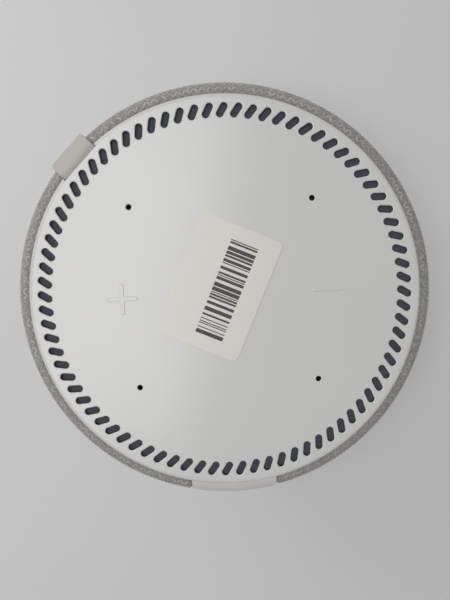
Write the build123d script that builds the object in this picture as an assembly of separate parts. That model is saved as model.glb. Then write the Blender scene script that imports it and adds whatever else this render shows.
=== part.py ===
from build123d import *
import os
from math import acos, asin, cos, degrees, radians, sin

# Compact smart speaker. Millimetres, +Z up, rear panel on +Y, origin on the table under the foot's centre.

# Body outline
HEIGHT = 54.0            # table to the top face of the plate
BODY_R = 45.0            # widest radius over the fabric
BELLY_Z = 34.0           # height of the widest place
SHOULDER_R = 5.0         # rounding of the fabric round the plate
SHOULDER_DROP = 1.2      # crest of the fabric below the top face
SHOULDER_INSET = 0.2     # the shoulder's widest place, inside the belly
LOWER_SIDE_R = 300.0     # slow curve of the side below the belly
BOTTOM_R = 9.5           # rounding under the side
BOTTOM_START_Z = 11.5    # where that rounding starts
SEAM_R = 41.0            # fabric's upper edge, beside the plate
BASE_SEAM_R = 36.4       # fabric's lower edge, beside the base cover
FABRIC_T = 0.9
SHELL_T = 1.8

# Top plate
PLATE_R = 40.9
PLATE_T = 2.0
RIM_FILLET = 0.9
SKIRT_R = 39.3           # inside of the skirt under the rim
SKIRT_Z = 49.6           # lower edge of the skirt
RING_R = 37.4            # centre line of the ring of slots
RING_T = 0.8             # the plate is thinned from below where the slots go through
RING_INNER_R = 35.3      # inside of that groove
SLOT_COUNT = 80
SLOT_LENGTH = 3.2
SLOT_WIDTH = 1.5
SLOT_TILT = 30.0         # turn of each slot from the radial direction, in degrees
SLOT_LIP = 0.15          # chamfer round each slot
CLOTH_T = 0.3            # acoustic mesh behind the slots
MIC_SPACING = 37.7       # side of the square of microphone holes
MIC_HOLE_R = 0.58
MARK_X = 21.4            # plus at +X, minus at -X
MARK_LENGTH = 6.5
MARK_WIDTH = 0.9
MARK_HEIGHT = 0.12
HOOK_COUNT = 6
HOOK_WIDTH = 5.0

# Paper label on the plate
LABEL_LENGTH = 26.8
LABEL_WIDTH = 17.8
LABEL_T = 0.12
LABEL_CORNER = 1.5
LABEL_CENTRE = (0.9, -1.3)
LABEL_ANGLE = 65.6       # direction of its long side, in degrees

# Side tag
TAG_ANGLE = -45.0
TAG_WIDTH = 9.3
TAG_T = 0.9
TAG_FACE_R = 39.8        # its inner face, in the notch of the plate
TAG_CORNER = 2.0         # round corners of its lower end
TAG_EDGE = 0.35          # rounding along its outer face
TAG_END_Z = 38.0
TAG_GAP = 0.1            # clearance over the fabric

# Rear panel, with the mute button and the power socket
PANEL_WIDTH = 18.6
PANEL_Z = 6.4            # lower edge of its window
PANEL_CORNER = 3.1
PANEL_GAP = 0.1
PANEL_T = 3.2
BUTTON_Z = 38.0
BUTTON_R = 4.0
BUTTON_FACE_Y = 45.25
BUTTON_CLEARANCE = 0.3
USB_WIDTH = 8.94
USB_HEIGHT = 3.26
USB_WALL = 0.35
USB_DEPTH = 7.3
USB_MOUTH_Y = 43.5

# Heights of the inner layers
BASE_Z = 0.9
BASE_T = 2.2
BASE_R = 36.3
FOOT_INNER_R = 26.0
FOOT_OUTER_R = 34.2
FOOT_GROOVE = 0.9
BOARD_Z = 9.4
BOARD_T = 1.2
BOARD_R = 30.0
BOX_Z = 14.2
BOX_R = 36.2
BOX_WALL = 1.8
BOX_TOP_Z = 39.2
BOX_FLAT_Y = 30.5
SEAL_T = 0.8
BAFFLE_T = 2.2
BAFFLE_R = 38.6
TOUCH_Z = 49.6
TOUCH_T = 1.0
TOUCH_R = 32.5

# Driver, firing up
DRIVER_R = 22.5
DRIVER_HOLE_R = 19.2
CONE_R = 14.0
COIL_R = 5.0             # inside of the coil's former
COIL_GAP = 0.3           # air gap either side of the coil
SURROUND_R = 17.3        # outer edge of the roll, at the basket
BASKET_WALL_R = 15.7     # outside of the basket at the spider's step
WASHER_T = 2.4
WASHER_R = 12.5
MAGNET_T = 5.0
YOKE_T = 2.2

# Cables and wires
CABLE_T = 0.25
CABLE_ANGLE = 205.0      # where the touch board's cable runs down
CABLE_R = 39.6
CABLE_END_R = 27.0
WIRE_R = 0.55
WIRE_X = 1.6
WIRE_Y = -26.0
GROMMET_R = 3.0

# Mute switch
SWITCH_BOARD_Y = 33.2    # rear face of the upright board
SWITCH_BOARD_T = 1.2
SWITCH_DEPTH = 2.6
PLUNGER_R = 1.4
PLUNGER_OUT = 1.2

# Screw circles
BASE_SCREW_R = 30.2
BOX_SCREW_R = 39.0
BOARD_SCREW_R = 22.0
TOUCH_SCREW_R = 29.0
DRIVER_SCREW_R = 20.8
QUARTERS = [45, 135, 225, 315]
AXES = [0, 90, 180, 270]

# Places on the main board
PROCESSOR_XY = (-8, -4)
RADIO_XY = (12, -7)
AMPLIFIER_XY = (6, 5)
INDUCTOR_Y = 13
CAPACITOR_Y = 24

# Worked out from the dimensions above
SHOULDER_C = (BODY_R - SHOULDER_INSET - SHOULDER_R, HEIGHT - SHOULDER_DROP - SHOULDER_R)
SHOULDER_RISE = SHOULDER_C[1] - BELLY_Z
UPPER_SIDE_R = (SHOULDER_RISE**2 / SHOULDER_INSET + SHOULDER_INSET) / 2 + SHOULDER_R
UPPER_ANGLE = degrees(asin(SHOULDER_RISE / (UPPER_SIDE_R - SHOULDER_R)))
LOWER_ANGLE = degrees(asin((BELLY_Z - BOTTOM_START_Z) / LOWER_SIDE_R))
BOTTOM_C = (
    BODY_R - LOWER_SIDE_R + (LOWER_SIDE_R - BOTTOM_R) * cos(radians(LOWER_ANGLE)),
    BELLY_Z - (LOWER_SIDE_R - BOTTOM_R) * sin(radians(LOWER_ANGLE)),
)
PLATE_UNDER_Z = HEIGHT - PLATE_T
RING_Z = HEIGHT - RING_T
BASE_TOP_Z = BASE_Z + BASE_T
BOARD_TOP_Z = BOARD_Z + BOARD_T
USB_Z = BOARD_TOP_Z + USB_HEIGHT / 2
BAFFLE_Z = BOX_TOP_Z + SEAL_T
BAFFLE_TOP_Z = BAFFLE_Z + BAFFLE_T
FLANGE_Z = BOX_TOP_Z - 1.8
LEDGE_Z = SKIRT_Z - 1.6
SEAT_Z = BAFFLE_TOP_Z + 0.4
LIP_Z = SEAT_Z + 1.0
SPIDER_Z = LIP_Z - 8.3
WASHER_Z = LIP_Z - 14.0
WASHER_TOP_Z = WASHER_Z + WASHER_T
TERMINAL_Z = SPIDER_Z - 0.5
WINDING_R = COIL_R + 0.6
SWITCH_FACE_Y = SWITCH_BOARD_Y + SWITCH_BOARD_T + SWITCH_DEPTH
PLUNGER_TIP_Y = SWITCH_FACE_Y + PLUNGER_OUT
SWITCH_SCREWS = [(-5.8, BUTTON_Z - 5.0), (5.8, BUTTON_Z + 5.0)]
MIC_CENTRES = [(x * MIC_SPACING / 2, y * MIC_SPACING / 2) for x in (-1, 1) for y in (-1, 1)]


def rz(radius, height):
    """A point of a section, by its distance from the axis and its height."""
    return Vector(radius, 0, height)


def section_arc(centre, radius, start, end):
    """An arc of a section between two angles, counted from straight outward."""
    def at(angle):
        return rz(centre[0] + radius * cos(radians(angle)), centre[1] + radius * sin(radians(angle)))
    return ThreePointArc(at(start), at((start + end) / 2), at(end))


def turned(*lines):
    """A solid of revolution about the axis, from the lines of its closed section."""
    edges = [edge for line in lines for edge in line.edges()]
    return revolve(make_face(edges), Axis.Z)


def turned_polygon(points):
    """A solid of revolution whose section has straight sides."""
    return turned(Polyline(*[rz(r, z) for r, z in points], close=True))


def disc(radius, low, high):
    """A round plate about the axis, between two heights."""
    return Pos(0, 0, low) * Cylinder(radius, high - low, align=(Align.CENTER, Align.CENTER, Align.MIN))


def ring(inner, outer, low, high):
    """A flat ring about the axis, between two heights."""
    return disc(outer, low, high) - disc(inner, low, high)


def block(x, y, z):
    """A box between the low and high values given for each direction."""
    size = [high - low for low, high in (x, y, z)]
    centre = [(high + low) / 2 for low, high in (x, y, z)]
    return Pos(*centre) * Box(*size)


def post(x, y, radius, low, high):
    """A round post away from the axis."""
    return Pos(x, y, 0) * disc(radius, low, high)


def pin_y(x, z, radius, low, high):
    """A round pin along Y, between two places along it."""
    return Pos(x, low, z) * Rot(-90, 0, 0) * Cylinder(
        radius, high - low, align=(Align.CENTER, Align.CENTER, Align.MIN))


def turned_copies(shape, angles):
    """Copies of a shape at several angles about the axis."""
    return [Rot(0, 0, angle) * shape for angle in angles]


def group(shapes):
    """Several separate solids as one piece of the model."""
    return Compound([solid for shape in shapes for solid in shape.solids()])


def screw(head_r, head_t, shank_r, length):
    """A pan-head screw that points up, with the underside of its head at height zero."""
    head = fillet(disc(head_r, -head_t, 0).edges().sort_by(Axis.Z)[0], head_t * 0.45)
    return head + disc(shank_r, 0, length)


def body_line(inset, top_r, bottom_r):
    """The body's outline moved inwards, from the plate's seam to the base's seam."""
    start = degrees(acos((top_r - SHOULDER_C[0]) / (SHOULDER_R - inset)))
    end = -degrees(acos((bottom_r - BOTTOM_C[0]) / (BOTTOM_R - inset)))
    return [
        section_arc(SHOULDER_C, SHOULDER_R - inset, start, UPPER_ANGLE),
        section_arc((BODY_R - UPPER_SIDE_R, BELLY_Z), UPPER_SIDE_R - inset, UPPER_ANGLE, 0),
        section_arc((BODY_R - LOWER_SIDE_R, BELLY_Z), LOWER_SIDE_R - inset, 0, -LOWER_ANGLE),
        section_arc(BOTTOM_C, BOTTOM_R - inset, -LOWER_ANGLE, end),
    ]


def body_layer(outer_inset, inner_inset, top_r=SEAM_R, bottom_r=BASE_SEAM_R):
    """A layer of the round body between two insets of its outline."""
    outer = body_line(outer_inset, top_r, bottom_r)
    inner = body_line(inner_inset, top_r, bottom_r)
    top = Line(inner[0] @ 0, outer[0] @ 0)
    bottom = Line(outer[-1] @ 1, inner[-1] @ 1)
    return turned(*outer, bottom, *inner, top)


def rear_window(width, low, corner):
    """A block through the rear wall, rounded at its lower corners and open at the top."""
    high = HEIGHT + 3 * corner
    outline = Pos(0, (low + high) / 2) * RectangleRounded(width, high - low, corner)
    return extrude(Plane.XZ * outline, amount=-2 * BODY_R)


def ribbon(points, radius, width, thickness):
    """A flat cable along a path in the XZ plane, with rounded bends."""
    path = FilletPolyline(*[rz(x, z) for x, z in points], radius=radius)
    section = Plane(path @ 0, x_dir=(0, 1, 0), z_dir=path % 0) * Rectangle(width, thickness)
    return sweep(section, path=path)


# Outside

def make_top_plate():
    """Touch plate: slots, microphone holes, raised marks, skirt, hooks and the tag's notch."""
    under = Polyline(rz(0, PLATE_UNDER_Z), rz(SKIRT_R, PLATE_UNDER_Z), rz(SKIRT_R, SKIRT_Z),
                     rz(PLATE_R, SKIRT_Z), rz(PLATE_R, HEIGHT - RIM_FILLET))
    rim = section_arc((PLATE_R - RIM_FILLET, HEIGHT - RIM_FILLET), RIM_FILLET, 0, 90)
    face = Polyline(rz(PLATE_R - RIM_FILLET, HEIGHT), rz(0, HEIGHT), rz(0, PLATE_UNDER_Z))
    plate = turned(under, rim, face) - ring(RING_INNER_R, SKIRT_R, PLATE_UNDER_Z, RING_Z)
    pitch = 360 / SLOT_COUNT
    cuts = turned_copies(plate_slot(), [(index + 0.5) * pitch for index in range(SLOT_COUNT)])
    cuts += [post(x, y, MIC_HOLE_R, PLATE_UNDER_Z, HEIGHT) for x, y in MIC_CENTRES]
    half_notch = TAG_WIDTH / 2 + PANEL_GAP
    notch = block((TAG_FACE_R - PANEL_GAP, BODY_R), (-half_notch, half_notch), (SKIRT_Z, HEIGHT))
    cuts.append(Rot(0, 0, TAG_ANGLE) * notch)
    boss = post(TOUCH_SCREW_R, 0, 2.2, TOUCH_Z + TOUCH_T, PLATE_UNDER_Z)
    pilot = post(TOUCH_SCREW_R, 0, 0.8, TOUCH_Z, HEIGHT - 1.0)
    cuts += turned_copies(pilot, AXES)
    hook_angles = [index * 360 / HOOK_COUNT for index in range(HOOK_COUNT)]
    added = turned_copies(boss, AXES) + turned_copies(plate_hook(), hook_angles) + touch_marks()
    return plate + added - cuts


def plate_slot():
    """The cut of one slanted slot, flared at the top for its chamfer."""
    outline = SlotOverall(SLOT_LENGTH, SLOT_WIDTH)
    cut = Pos(0, 0, RING_Z) * extrude(outline, amount=RING_T)
    flare = Pos(0, 0, HEIGHT - SLOT_LIP) * extrude(outline, amount=SLOT_LIP, taper=-45)
    return Pos(RING_R, 0, 0) * Rot(0, 0, -SLOT_TILT) * (cut + flare)


def plate_hook():
    """A snap arm under the plate, whose nib catches below the shell's ledge."""
    nib_z = LEDGE_Z - 0.1
    tip_z = nib_z - 1.0
    arm_r = SKIRT_R + 0.8
    nib_r = arm_r + 0.65
    corners = [(SKIRT_R, PLATE_UNDER_Z), (arm_r, PLATE_UNDER_Z), (arm_r, nib_z), (nib_r, nib_z),
               (nib_r, nib_z - 0.4), (arm_r, tip_z), (SKIRT_R, tip_z)]
    outline = Polyline(*[rz(r, z) for r, z in corners], close=True)
    return extrude(make_face(outline.edges()), amount=HOOK_WIDTH / 2, both=True)


def touch_marks():
    """The raised plus and minus, as bars with rounded tops."""
    bar = extrude(SlotOverall(MARK_LENGTH, MARK_WIDTH), amount=MARK_HEIGHT)
    bar = Pos(0, 0, HEIGHT) * fillet(bar.faces().sort_by(Axis.Z)[-1].edges(), MARK_HEIGHT * 0.9)
    return [Pos(MARK_X, 0, 0) * bar, Pos(MARK_X, 0, 0) * Rot(0, 0, 90) * bar, Pos(-MARK_X, 0, 0) * bar]


def make_acoustic_mesh():
    """Cloth ring glued behind the slots, in the plate's groove."""
    return ring(RING_INNER_R + 0.1, SKIRT_R - 0.1, RING_Z - CLOTH_T, RING_Z)


def make_paper_label():
    """Thin label with round corners, stuck on the plate."""
    outline = RectangleRounded(LABEL_LENGTH, LABEL_WIDTH, LABEL_CORNER)
    return Pos(*LABEL_CENTRE, HEIGHT) * Rot(0, 0, LABEL_ANGLE) * extrude(outline, amount=LABEL_T)


def make_fabric_sleeve():
    """Knitted sleeve, stretched over the shell and open at the rear panel."""
    return body_layer(0, FABRIC_T) - rear_window(PANEL_WIDTH, PANEL_Z, PANEL_CORNER)


def make_side_tag():
    """Strip that rises out of the seam, bends over the shoulder and lies down the side."""
    end_angle = degrees(asin((TAG_END_Z - BELLY_Z) / UPPER_SIDE_R))
    side_c = (BODY_R - UPPER_SIDE_R, BELLY_Z)
    back_r = TAG_FACE_R + TAG_T
    lines = []
    for outset, radius in ((TAG_GAP, back_r), (TAG_GAP + TAG_T, TAG_FACE_R)):
        shoulder_r = SHOULDER_R + outset
        start = degrees(acos((radius - SHOULDER_C[0]) / shoulder_r))
        shoulder = section_arc(SHOULDER_C, shoulder_r, start, UPPER_ANGLE)
        side = section_arc(side_c, UPPER_SIDE_R + outset, UPPER_ANGLE, end_angle)
        lines.append((Line(rz(radius, SKIRT_Z), shoulder @ 0), shoulder, side))
    under, over = lines
    foot = Line(under[0] @ 0, over[0] @ 0)
    tip = Line(under[2] @ 1, over[2] @ 1)
    edges = [edge for line in (*under, tip, *over, foot) for edge in line.edges()]
    strip = extrude(make_face(edges), amount=TAG_WIDTH / 2, both=True)
    across = strip.edges().filter_by(Axis.Y)
    strip = fillet(across.sort_by(Axis.Z)[-1], TAG_T * 1.3)
    tips = [edge for edge in strip.edges() if abs(edge.center().Y) > TAG_WIDTH / 2 - 0.01
            and edge.center().Z < TAG_END_Z + 0.5]
    strip = fillet(tips, TAG_CORNER)
    shown = [edge for face in strip.faces() if shows_on_tag(face) for edge in face.edges()]
    joints = strip.edges().filter_by(Axis.Y).filter_by_position(Axis.Z, TAG_END_Z + 0.5, HEIGHT)
    rim = [edge for edge in shown if edge not in joints]
    return Rot(0, 0, TAG_ANGLE) * fillet(rim, TAG_EDGE)


def shows_on_tag(face):
    """True for the tag's outer faces, which look away from the middle of the shoulder's rounding."""
    middle = face.center()
    away = Vector(middle.X - SHOULDER_C[0], 0, middle.Z - SHOULDER_C[1]).normalized()
    return face.normal_at(middle).dot(away) > 0.5 and middle.Z > TAG_END_Z + TAG_T


def make_rear_panel():
    """White panel flush with the fabric: button hole, socket mouth, back flange and board bosses."""
    window = rear_window(PANEL_WIDTH - 2 * PANEL_GAP, PANEL_Z + PANEL_GAP, PANEL_CORNER)
    panel = body_layer(0, PANEL_T) & window
    flange_low = USB_Z + 4.2
    flange_high = LEDGE_Z - 1.0
    flange = body_layer(PANEL_T - 0.4, PANEL_T + 0.8, top_r=SHOULDER_C[0] + 0.8)
    flange &= rear_window(PANEL_WIDTH + 4.6, flange_low, PANEL_CORNER)
    flange &= block((-BODY_R, BODY_R), (0, BODY_R), (0, flange_high))
    panel += flange
    panel += [pin_y(x, z, 1.9, SWITCH_BOARD_Y + SWITCH_BOARD_T, 41.2) for x, z in SWITCH_SCREWS]
    pocket = block((-8, 8), (BOARD_R, USB_MOUTH_Y - 1.9), (BOARD_Z - 0.6, flange_low))
    button_hole = pin_y(0, BUTTON_Z, BUTTON_R + BUTTON_CLEARANCE, BOARD_R, 2 * BODY_R)
    pilots = [pin_y(x, z, 0.75, SWITCH_BOARD_Y, 40.0) for x, z in SWITCH_SCREWS]
    return panel - pocket - button_hole - socket_mouth() - pilots


def socket_mouth():
    """Opening for the power socket, widening at the panel's face."""
    def slot_at(y, margin):
        outline = SlotOverall(USB_WIDTH + 2 * margin, USB_HEIGHT + 2 * margin)
        return Plane(origin=(0, y, USB_Z), x_dir=(1, 0, 0), z_dir=(0, 1, 0)) * outline
    straight = extrude(slot_at(BOARD_R, 0.25), amount=BODY_R)
    flare = loft([slot_at(USB_MOUTH_Y - 0.3, 0.25), slot_at(BODY_R, 1.3)])
    return straight + flare


def make_mute_button():
    """Round button with a dished face, a flange behind the panel and a stem to its switch."""
    flange_y = BUTTON_FACE_Y - 5.65
    cap = pin_y(0, BUTTON_Z, BUTTON_R, flange_y, BUTTON_FACE_Y)
    cap = fillet(cap.edges().sort_by(Axis.Y)[-1], 0.4)
    dish_r = 30.0
    dish = Pos(0, BUTTON_FACE_Y + dish_r - 0.18, BUTTON_Z) * Sphere(dish_r)
    flange = pin_y(0, BUTTON_Z, BUTTON_R + 0.9, flange_y, flange_y + 0.8)
    stem = pin_y(0, BUTTON_Z, 1.8, PLUNGER_TIP_Y + 0.05, flange_y)
    return cap - dish + flange + stem


def make_base_cover():
    """Dished cover under the body: foot groove, sunk screw seats and board posts."""
    edge = 1.4
    wall_r = BASE_R - 2.0
    wall_z = BASE_TOP_Z + 1.5
    corners = [(BASE_R, BASE_Z + edge), (BASE_R, wall_z), (wall_r, wall_z), (wall_r, BASE_TOP_Z),
               (0, BASE_TOP_Z), (0, BASE_Z), (BASE_R - edge, BASE_Z)]
    sides = Polyline(*[rz(r, z) for r, z in corners])
    cover = turned(sides, section_arc((BASE_R - edge, BASE_Z + edge), edge, -90, 0))
    seats = turned_copies(post(BASE_SCREW_R, 0, 3.6, BASE_TOP_Z, 5.5), QUARTERS)
    posts = turned_copies(post(BOARD_SCREW_R, 0, 2.6, BASE_TOP_Z, BOARD_Z), QUARTERS)
    heads = turned_copies(post(BASE_SCREW_R, 0, 2.6, BASE_Z, 3.4), QUARTERS)
    holes = turned_copies(post(BASE_SCREW_R, 0, 1.4, BASE_Z, 6), QUARTERS)
    pilots = turned_copies(post(BOARD_SCREW_R, 0, 0.9, BASE_TOP_Z, BOARD_Z), QUARTERS)
    groove = ring(FOOT_INNER_R, FOOT_OUTER_R, BASE_Z, BASE_Z + FOOT_GROOVE)
    return cover + seats + posts - heads - holes - pilots - groove


def make_rubber_foot():
    """Soft ring in the groove, rounded where it meets the table."""
    foot = ring(FOOT_INNER_R + 0.1, FOOT_OUTER_R - 0.1, 0, BASE_Z + FOOT_GROOVE - 0.05)
    return fillet(foot.edges().group_by(Axis.Z)[0], 0.5)


def make_base_screws():
    """Four screws under the foot that hold the base to the shell."""
    one = Pos(BASE_SCREW_R, 0, 3.4) * screw(2.4, 1.4, 1.2, 7.6)
    return group(turned_copies(one, QUARTERS))


# Shell

def make_inner_shell():
    """Rigid shell under the fabric: plate ledge, screw bosses on webs and the rear window."""
    shell = body_layer(FABRIC_T, FABRIC_T + SHELL_T)
    shell += ring(SKIRT_R + 0.9, SEAM_R + 1.3, LEDGE_Z, SKIRT_Z - 0.1)
    box_boss_low = FLANGE_Z - 7.4
    base_boss_low = BASE_TOP_Z + 2.5
    base_boss_high = BOX_Z - 0.6
    box_boss = post(BOX_SCREW_R, 0, 2.4, box_boss_low, FLANGE_Z)
    box_boss += block((BOX_SCREW_R, 43.0), (-1.5, 1.5), (box_boss_low, FLANGE_Z))
    base_boss = post(BASE_SCREW_R, 0, 3.2, base_boss_low, base_boss_high)
    base_boss += block((BASE_SCREW_R, 41.6), (-1.2, 1.2), (base_boss_low + 1.9, base_boss_high))
    shell += turned_copies(box_boss, QUARTERS) + turned_copies(base_boss, QUARTERS)
    box_pilot = post(BOX_SCREW_R, 0, 0.95, box_boss_low + 1.0, FLANGE_Z)
    base_pilot = post(BASE_SCREW_R, 0, 1.25, base_boss_low, base_boss_high - 1.0)
    shell -= turned_copies(box_pilot, QUARTERS) + turned_copies(base_pilot, QUARTERS)
    return shell - rear_window(PANEL_WIDTH, PANEL_Z, PANEL_CORNER)


# Touch board under the plate

def make_touch_board():
    """Round board with a port over each microphone and holes for its screws."""
    holes = [post(x, y, 0.5, TOUCH_Z, TOUCH_Z + TOUCH_T) for x, y in MIC_CENTRES]
    holes += turned_copies(post(TOUCH_SCREW_R, 0, 1.1, TOUCH_Z, TOUCH_Z + TOUCH_T), AXES)
    return disc(TOUCH_R, TOUCH_Z, TOUCH_Z + TOUCH_T) - holes


def make_microphones():
    """Four bottom-port microphones under the board."""
    low, high = TOUCH_Z - 1.0, TOUCH_Z
    return group([block((x - 1.8, x + 1.8), (y - 1.3, y + 1.3), (low, high)) for x, y in MIC_CENTRES])


def make_microphone_gaskets():
    """Rubber rings that lead each hole in the plate to its microphone."""
    low, high = TOUCH_Z + TOUCH_T, PLATE_UNDER_Z
    return group([Pos(x, y, 0) * ring(0.9, 2.5, low, high) for x, y in MIC_CENTRES])


def make_touch_foam_pads():
    """Conductive foam that joins the board's electrodes to the plate under the marks."""
    pad = extrude(RectangleRounded(9, 9, 1.5), amount=PLATE_UNDER_Z - TOUCH_Z - TOUCH_T)
    return group([Pos(x, 0, TOUCH_Z + TOUCH_T) * pad for x in (-MARK_X, MARK_X)])


def make_indicator_leds():
    """Four small lamps round the middle of the board."""
    low = TOUCH_Z + TOUCH_T
    return group(turned_copies(block((3.2, 4.8), (-0.8, 0.8), (low, low + 0.5)), AXES))


def make_light_diffuser():
    """Frosted disc between the lamps and the plate."""
    return disc(7.0, TOUCH_Z + TOUCH_T + 0.6, PLATE_UNDER_Z)


def make_touch_board_screws():
    """Four screws that hold the board to the plate's bosses."""
    one = Pos(TOUCH_SCREW_R, 0, TOUCH_Z) * screw(1.6, 0.9, 0.75, 2.8)
    return group(turned_copies(one, AXES))


def make_touch_cable():
    """Flat cable from the touch board down beside the speaker box to the main board."""
    top = TOUCH_Z - 0.75
    low = BOARD_TOP_Z + 1.0
    path = [(CABLE_END_R, top), (CABLE_R, top), (CABLE_R, low), (CABLE_END_R, low)]
    return Rot(0, 0, CABLE_ANGLE) * ribbon(path, 3.0, 8.0, CABLE_T)


# Speaker box

def box_outline(radius, flat_y):
    """Round outline with a flat at the rear."""
    return Circle(radius) & Pos(0, flat_y - BODY_R) * Rectangle(2 * BODY_R, 2 * BODY_R)


def lugs(radius, low, high):
    """Four round lugs for the box's screws."""
    return turned_copies(post(BOX_SCREW_R, 0, radius, low, high), QUARTERS)


def make_speaker_box():
    """Sealed cup behind the driver, flat at the rear, with a rim and screw lugs."""
    def layer(radius, flat_y, low, high):
        return Pos(0, 0, low) * extrude(box_outline(radius, flat_y), amount=high - low)
    cup = layer(BOX_R, BOX_FLAT_Y, BOX_Z, BOX_TOP_Z)
    cup = fillet(cup.faces().sort_by(Axis.Z)[0].edges(), 1.5)
    cup += layer(BAFFLE_R, BOX_FLAT_Y + 0.6, FLANGE_Z, BOX_TOP_Z)
    cup += lugs(2.6, FLANGE_Z, BOX_TOP_Z)
    cup -= layer(BOX_R - BOX_WALL, BOX_FLAT_Y - BOX_WALL, BOX_Z + BOX_WALL, BOX_TOP_Z)
    cup -= lugs(1.2, FLANGE_Z, BOX_TOP_Z)
    return cup - post(0, WIRE_Y, GROMMET_R, BOX_Z, BOX_Z + BOX_WALL)


def make_box_seal():
    """Foam strip between the box's rim and the baffle."""
    outer = extrude(box_outline(BOX_R + 0.6, BOX_FLAT_Y), amount=SEAL_T)
    inner = extrude(box_outline(BOX_R - BOX_WALL, BOX_FLAT_Y - BOX_WALL), amount=SEAL_T)
    return Pos(0, 0, BOX_TOP_Z) * (outer - inner)


def make_speaker_baffle():
    """Lid of the box that carries the driver."""
    lid = Pos(0, 0, BAFFLE_Z) * extrude(box_outline(BAFFLE_R, BOX_FLAT_Y + 0.6), amount=BAFFLE_T)
    lid += lugs(2.6, BAFFLE_Z, BAFFLE_TOP_Z)
    lid -= lugs(1.2, BAFFLE_Z, BAFFLE_TOP_Z)
    lid -= turned_copies(post(DRIVER_SCREW_R, 0, 0.8, BAFFLE_Z, BAFFLE_TOP_Z), QUARTERS)
    return lid - disc(DRIVER_HOLE_R + 0.4, BAFFLE_Z, BAFFLE_TOP_Z)


def make_box_screws():
    """Four screws through the baffle and the box into the shell."""
    one = Pos(BOX_SCREW_R, 0, BAFFLE_TOP_Z) * Rot(180, 0, 0) * screw(2.0, 1.2, 0.9, 10.0)
    return group(turned_copies(one, QUARTERS))


# Driver

def make_driver_gasket():
    """Foam ring under the basket's flange."""
    return (ring(DRIVER_HOLE_R + 0.4, DRIVER_R, BAFFLE_TOP_Z, SEAT_Z)
            - turned_copies(post(DRIVER_SCREW_R, 0, 0.9, BAFFLE_TOP_Z, SEAT_Z), QUARTERS))


def make_driver_basket():
    """Pressed basket: flange, windowed skirt, step for the spider and a seat on the washer."""
    wall = 1.0
    step_r = BASKET_WALL_R - wall
    foot_z = WASHER_TOP_Z + wall
    basket = turned_polygon([
        (DRIVER_R, SEAT_Z), (DRIVER_R, LIP_Z), (SURROUND_R, LIP_Z), (SURROUND_R, SEAT_Z),
        (step_r, SPIDER_Z + wall), (step_r, SPIDER_Z), (step_r - 1.5, SPIDER_Z), (WASHER_R, foot_z),
        (8.0, foot_z), (8.0, WASHER_TOP_Z), (step_r - 1.5, WASHER_TOP_Z),
        (BASKET_WALL_R, SPIDER_Z - wall), (BASKET_WALL_R, SPIDER_Z + wall), (SURROUND_R + 1.3, SEAT_Z)])
    window = block((12.0, DRIVER_HOLE_R), (-5.2, 5.2), (SPIDER_Z + 1.5, SEAT_Z - 1.4))
    basket -= turned_copies(window, AXES)
    return basket - turned_copies(post(DRIVER_SCREW_R, 0, 1.0, SEAT_Z, LIP_Z), QUARTERS)


def make_driver_surround():
    """Rubber half-roll between the cone's edge and the basket."""
    sheet = 0.35
    roll_r = (SURROUND_R - CONE_R) / 2
    centre = (CONE_R + roll_r, LIP_Z)
    lift = degrees(asin(sheet / (roll_r + sheet)))
    over = section_arc(centre, roll_r + sheet, lift, 180 - lift)
    under = section_arc(centre, roll_r, 0, 180)
    glue_r = SURROUND_R + 1.9
    outer = Polyline(under @ 0, rz(glue_r, LIP_Z), rz(glue_r, LIP_Z + sheet), over @ 0)
    inner = Polyline(over @ 1, rz(CONE_R - 1.4, LIP_Z + sheet), rz(CONE_R - 1.4, LIP_Z), under @ 1)
    return turned(over, under, outer, inner)


def make_driver_cone():
    """Thin cone from the glued lip down to its neck on the coil's former."""
    wall = 0.4
    lip = LIP_Z - 0.02
    neck_r = COIL_R + 0.25
    neck_z = LIP_Z - 6.6
    return turned_polygon([
        (CONE_R, lip), (CONE_R - 1.4, lip), (neck_r + wall, neck_z), (neck_r, neck_z), (neck_r, neck_z - 0.8),
        (neck_r + wall, neck_z - 0.8), (CONE_R - 1.4, lip - 0.5), (CONE_R, lip - 0.5)])


def make_driver_dust_cap():
    """Domed cap over the middle of the cone."""
    cap_r = 6.8
    rise = 2.2
    sheet = 0.3
    low = LIP_Z - 5.2
    sphere_r = (cap_r**2 + rise**2) / (2 * rise)
    centre = (0, low + rise - sphere_r)
    edge = degrees(acos(cap_r / sphere_r))
    outer = section_arc(centre, sphere_r, edge, 90)
    inner = section_arc(centre, sphere_r - sheet, edge, 90)
    return turned(outer, inner, Line(outer @ 0, inner @ 0), Line(outer @ 1, inner @ 1))


def make_voice_coil():
    """Former with its winding, centred in the magnet's gap."""
    centre = WASHER_Z + WASHER_T / 2
    former = ring(COIL_R, COIL_R + 0.2, centre - 1.6, LIP_Z - 5.6)
    return former + ring(COIL_R + 0.2, WINDING_R, centre - 1.5, centre + 1.5)


def make_driver_spider():
    """Corrugated disc that centres the coil, glued on the basket's step."""
    inner_r = COIL_R + 0.3
    outer_r = BASKET_WALL_R - 1.2
    flat = 1.2
    waves = 6
    swing = 0.45
    sheet = 0.3
    half = (outer_r - inner_r - 2 * flat) / waves / 2

    def sheet_line(height):
        lines = [Line(rz(inner_r, height), rz(inner_r + flat, height))]
        for index in range(waves):
            start = inner_r + flat + 2 * half * index
            crest = height + swing * (-1) ** (index + 1)
            stop = start + 2 * half
            lines.append(ThreePointArc(rz(start, height), rz(start + half, crest), rz(stop, height)))
        lines.append(Line(rz(outer_r - flat, height), rz(outer_r, height)))
        return lines
    ends = [Line(rz(radius, SPIDER_Z), rz(radius, SPIDER_Z + sheet)) for radius in (inner_r, outer_r)]
    return turned(*sheet_line(SPIDER_Z), *sheet_line(SPIDER_Z + sheet), *ends)


def make_driver_washer():
    """Front plate of the magnet system."""
    return ring(WINDING_R + COIL_GAP, WASHER_R, WASHER_Z, WASHER_TOP_Z)


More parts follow.
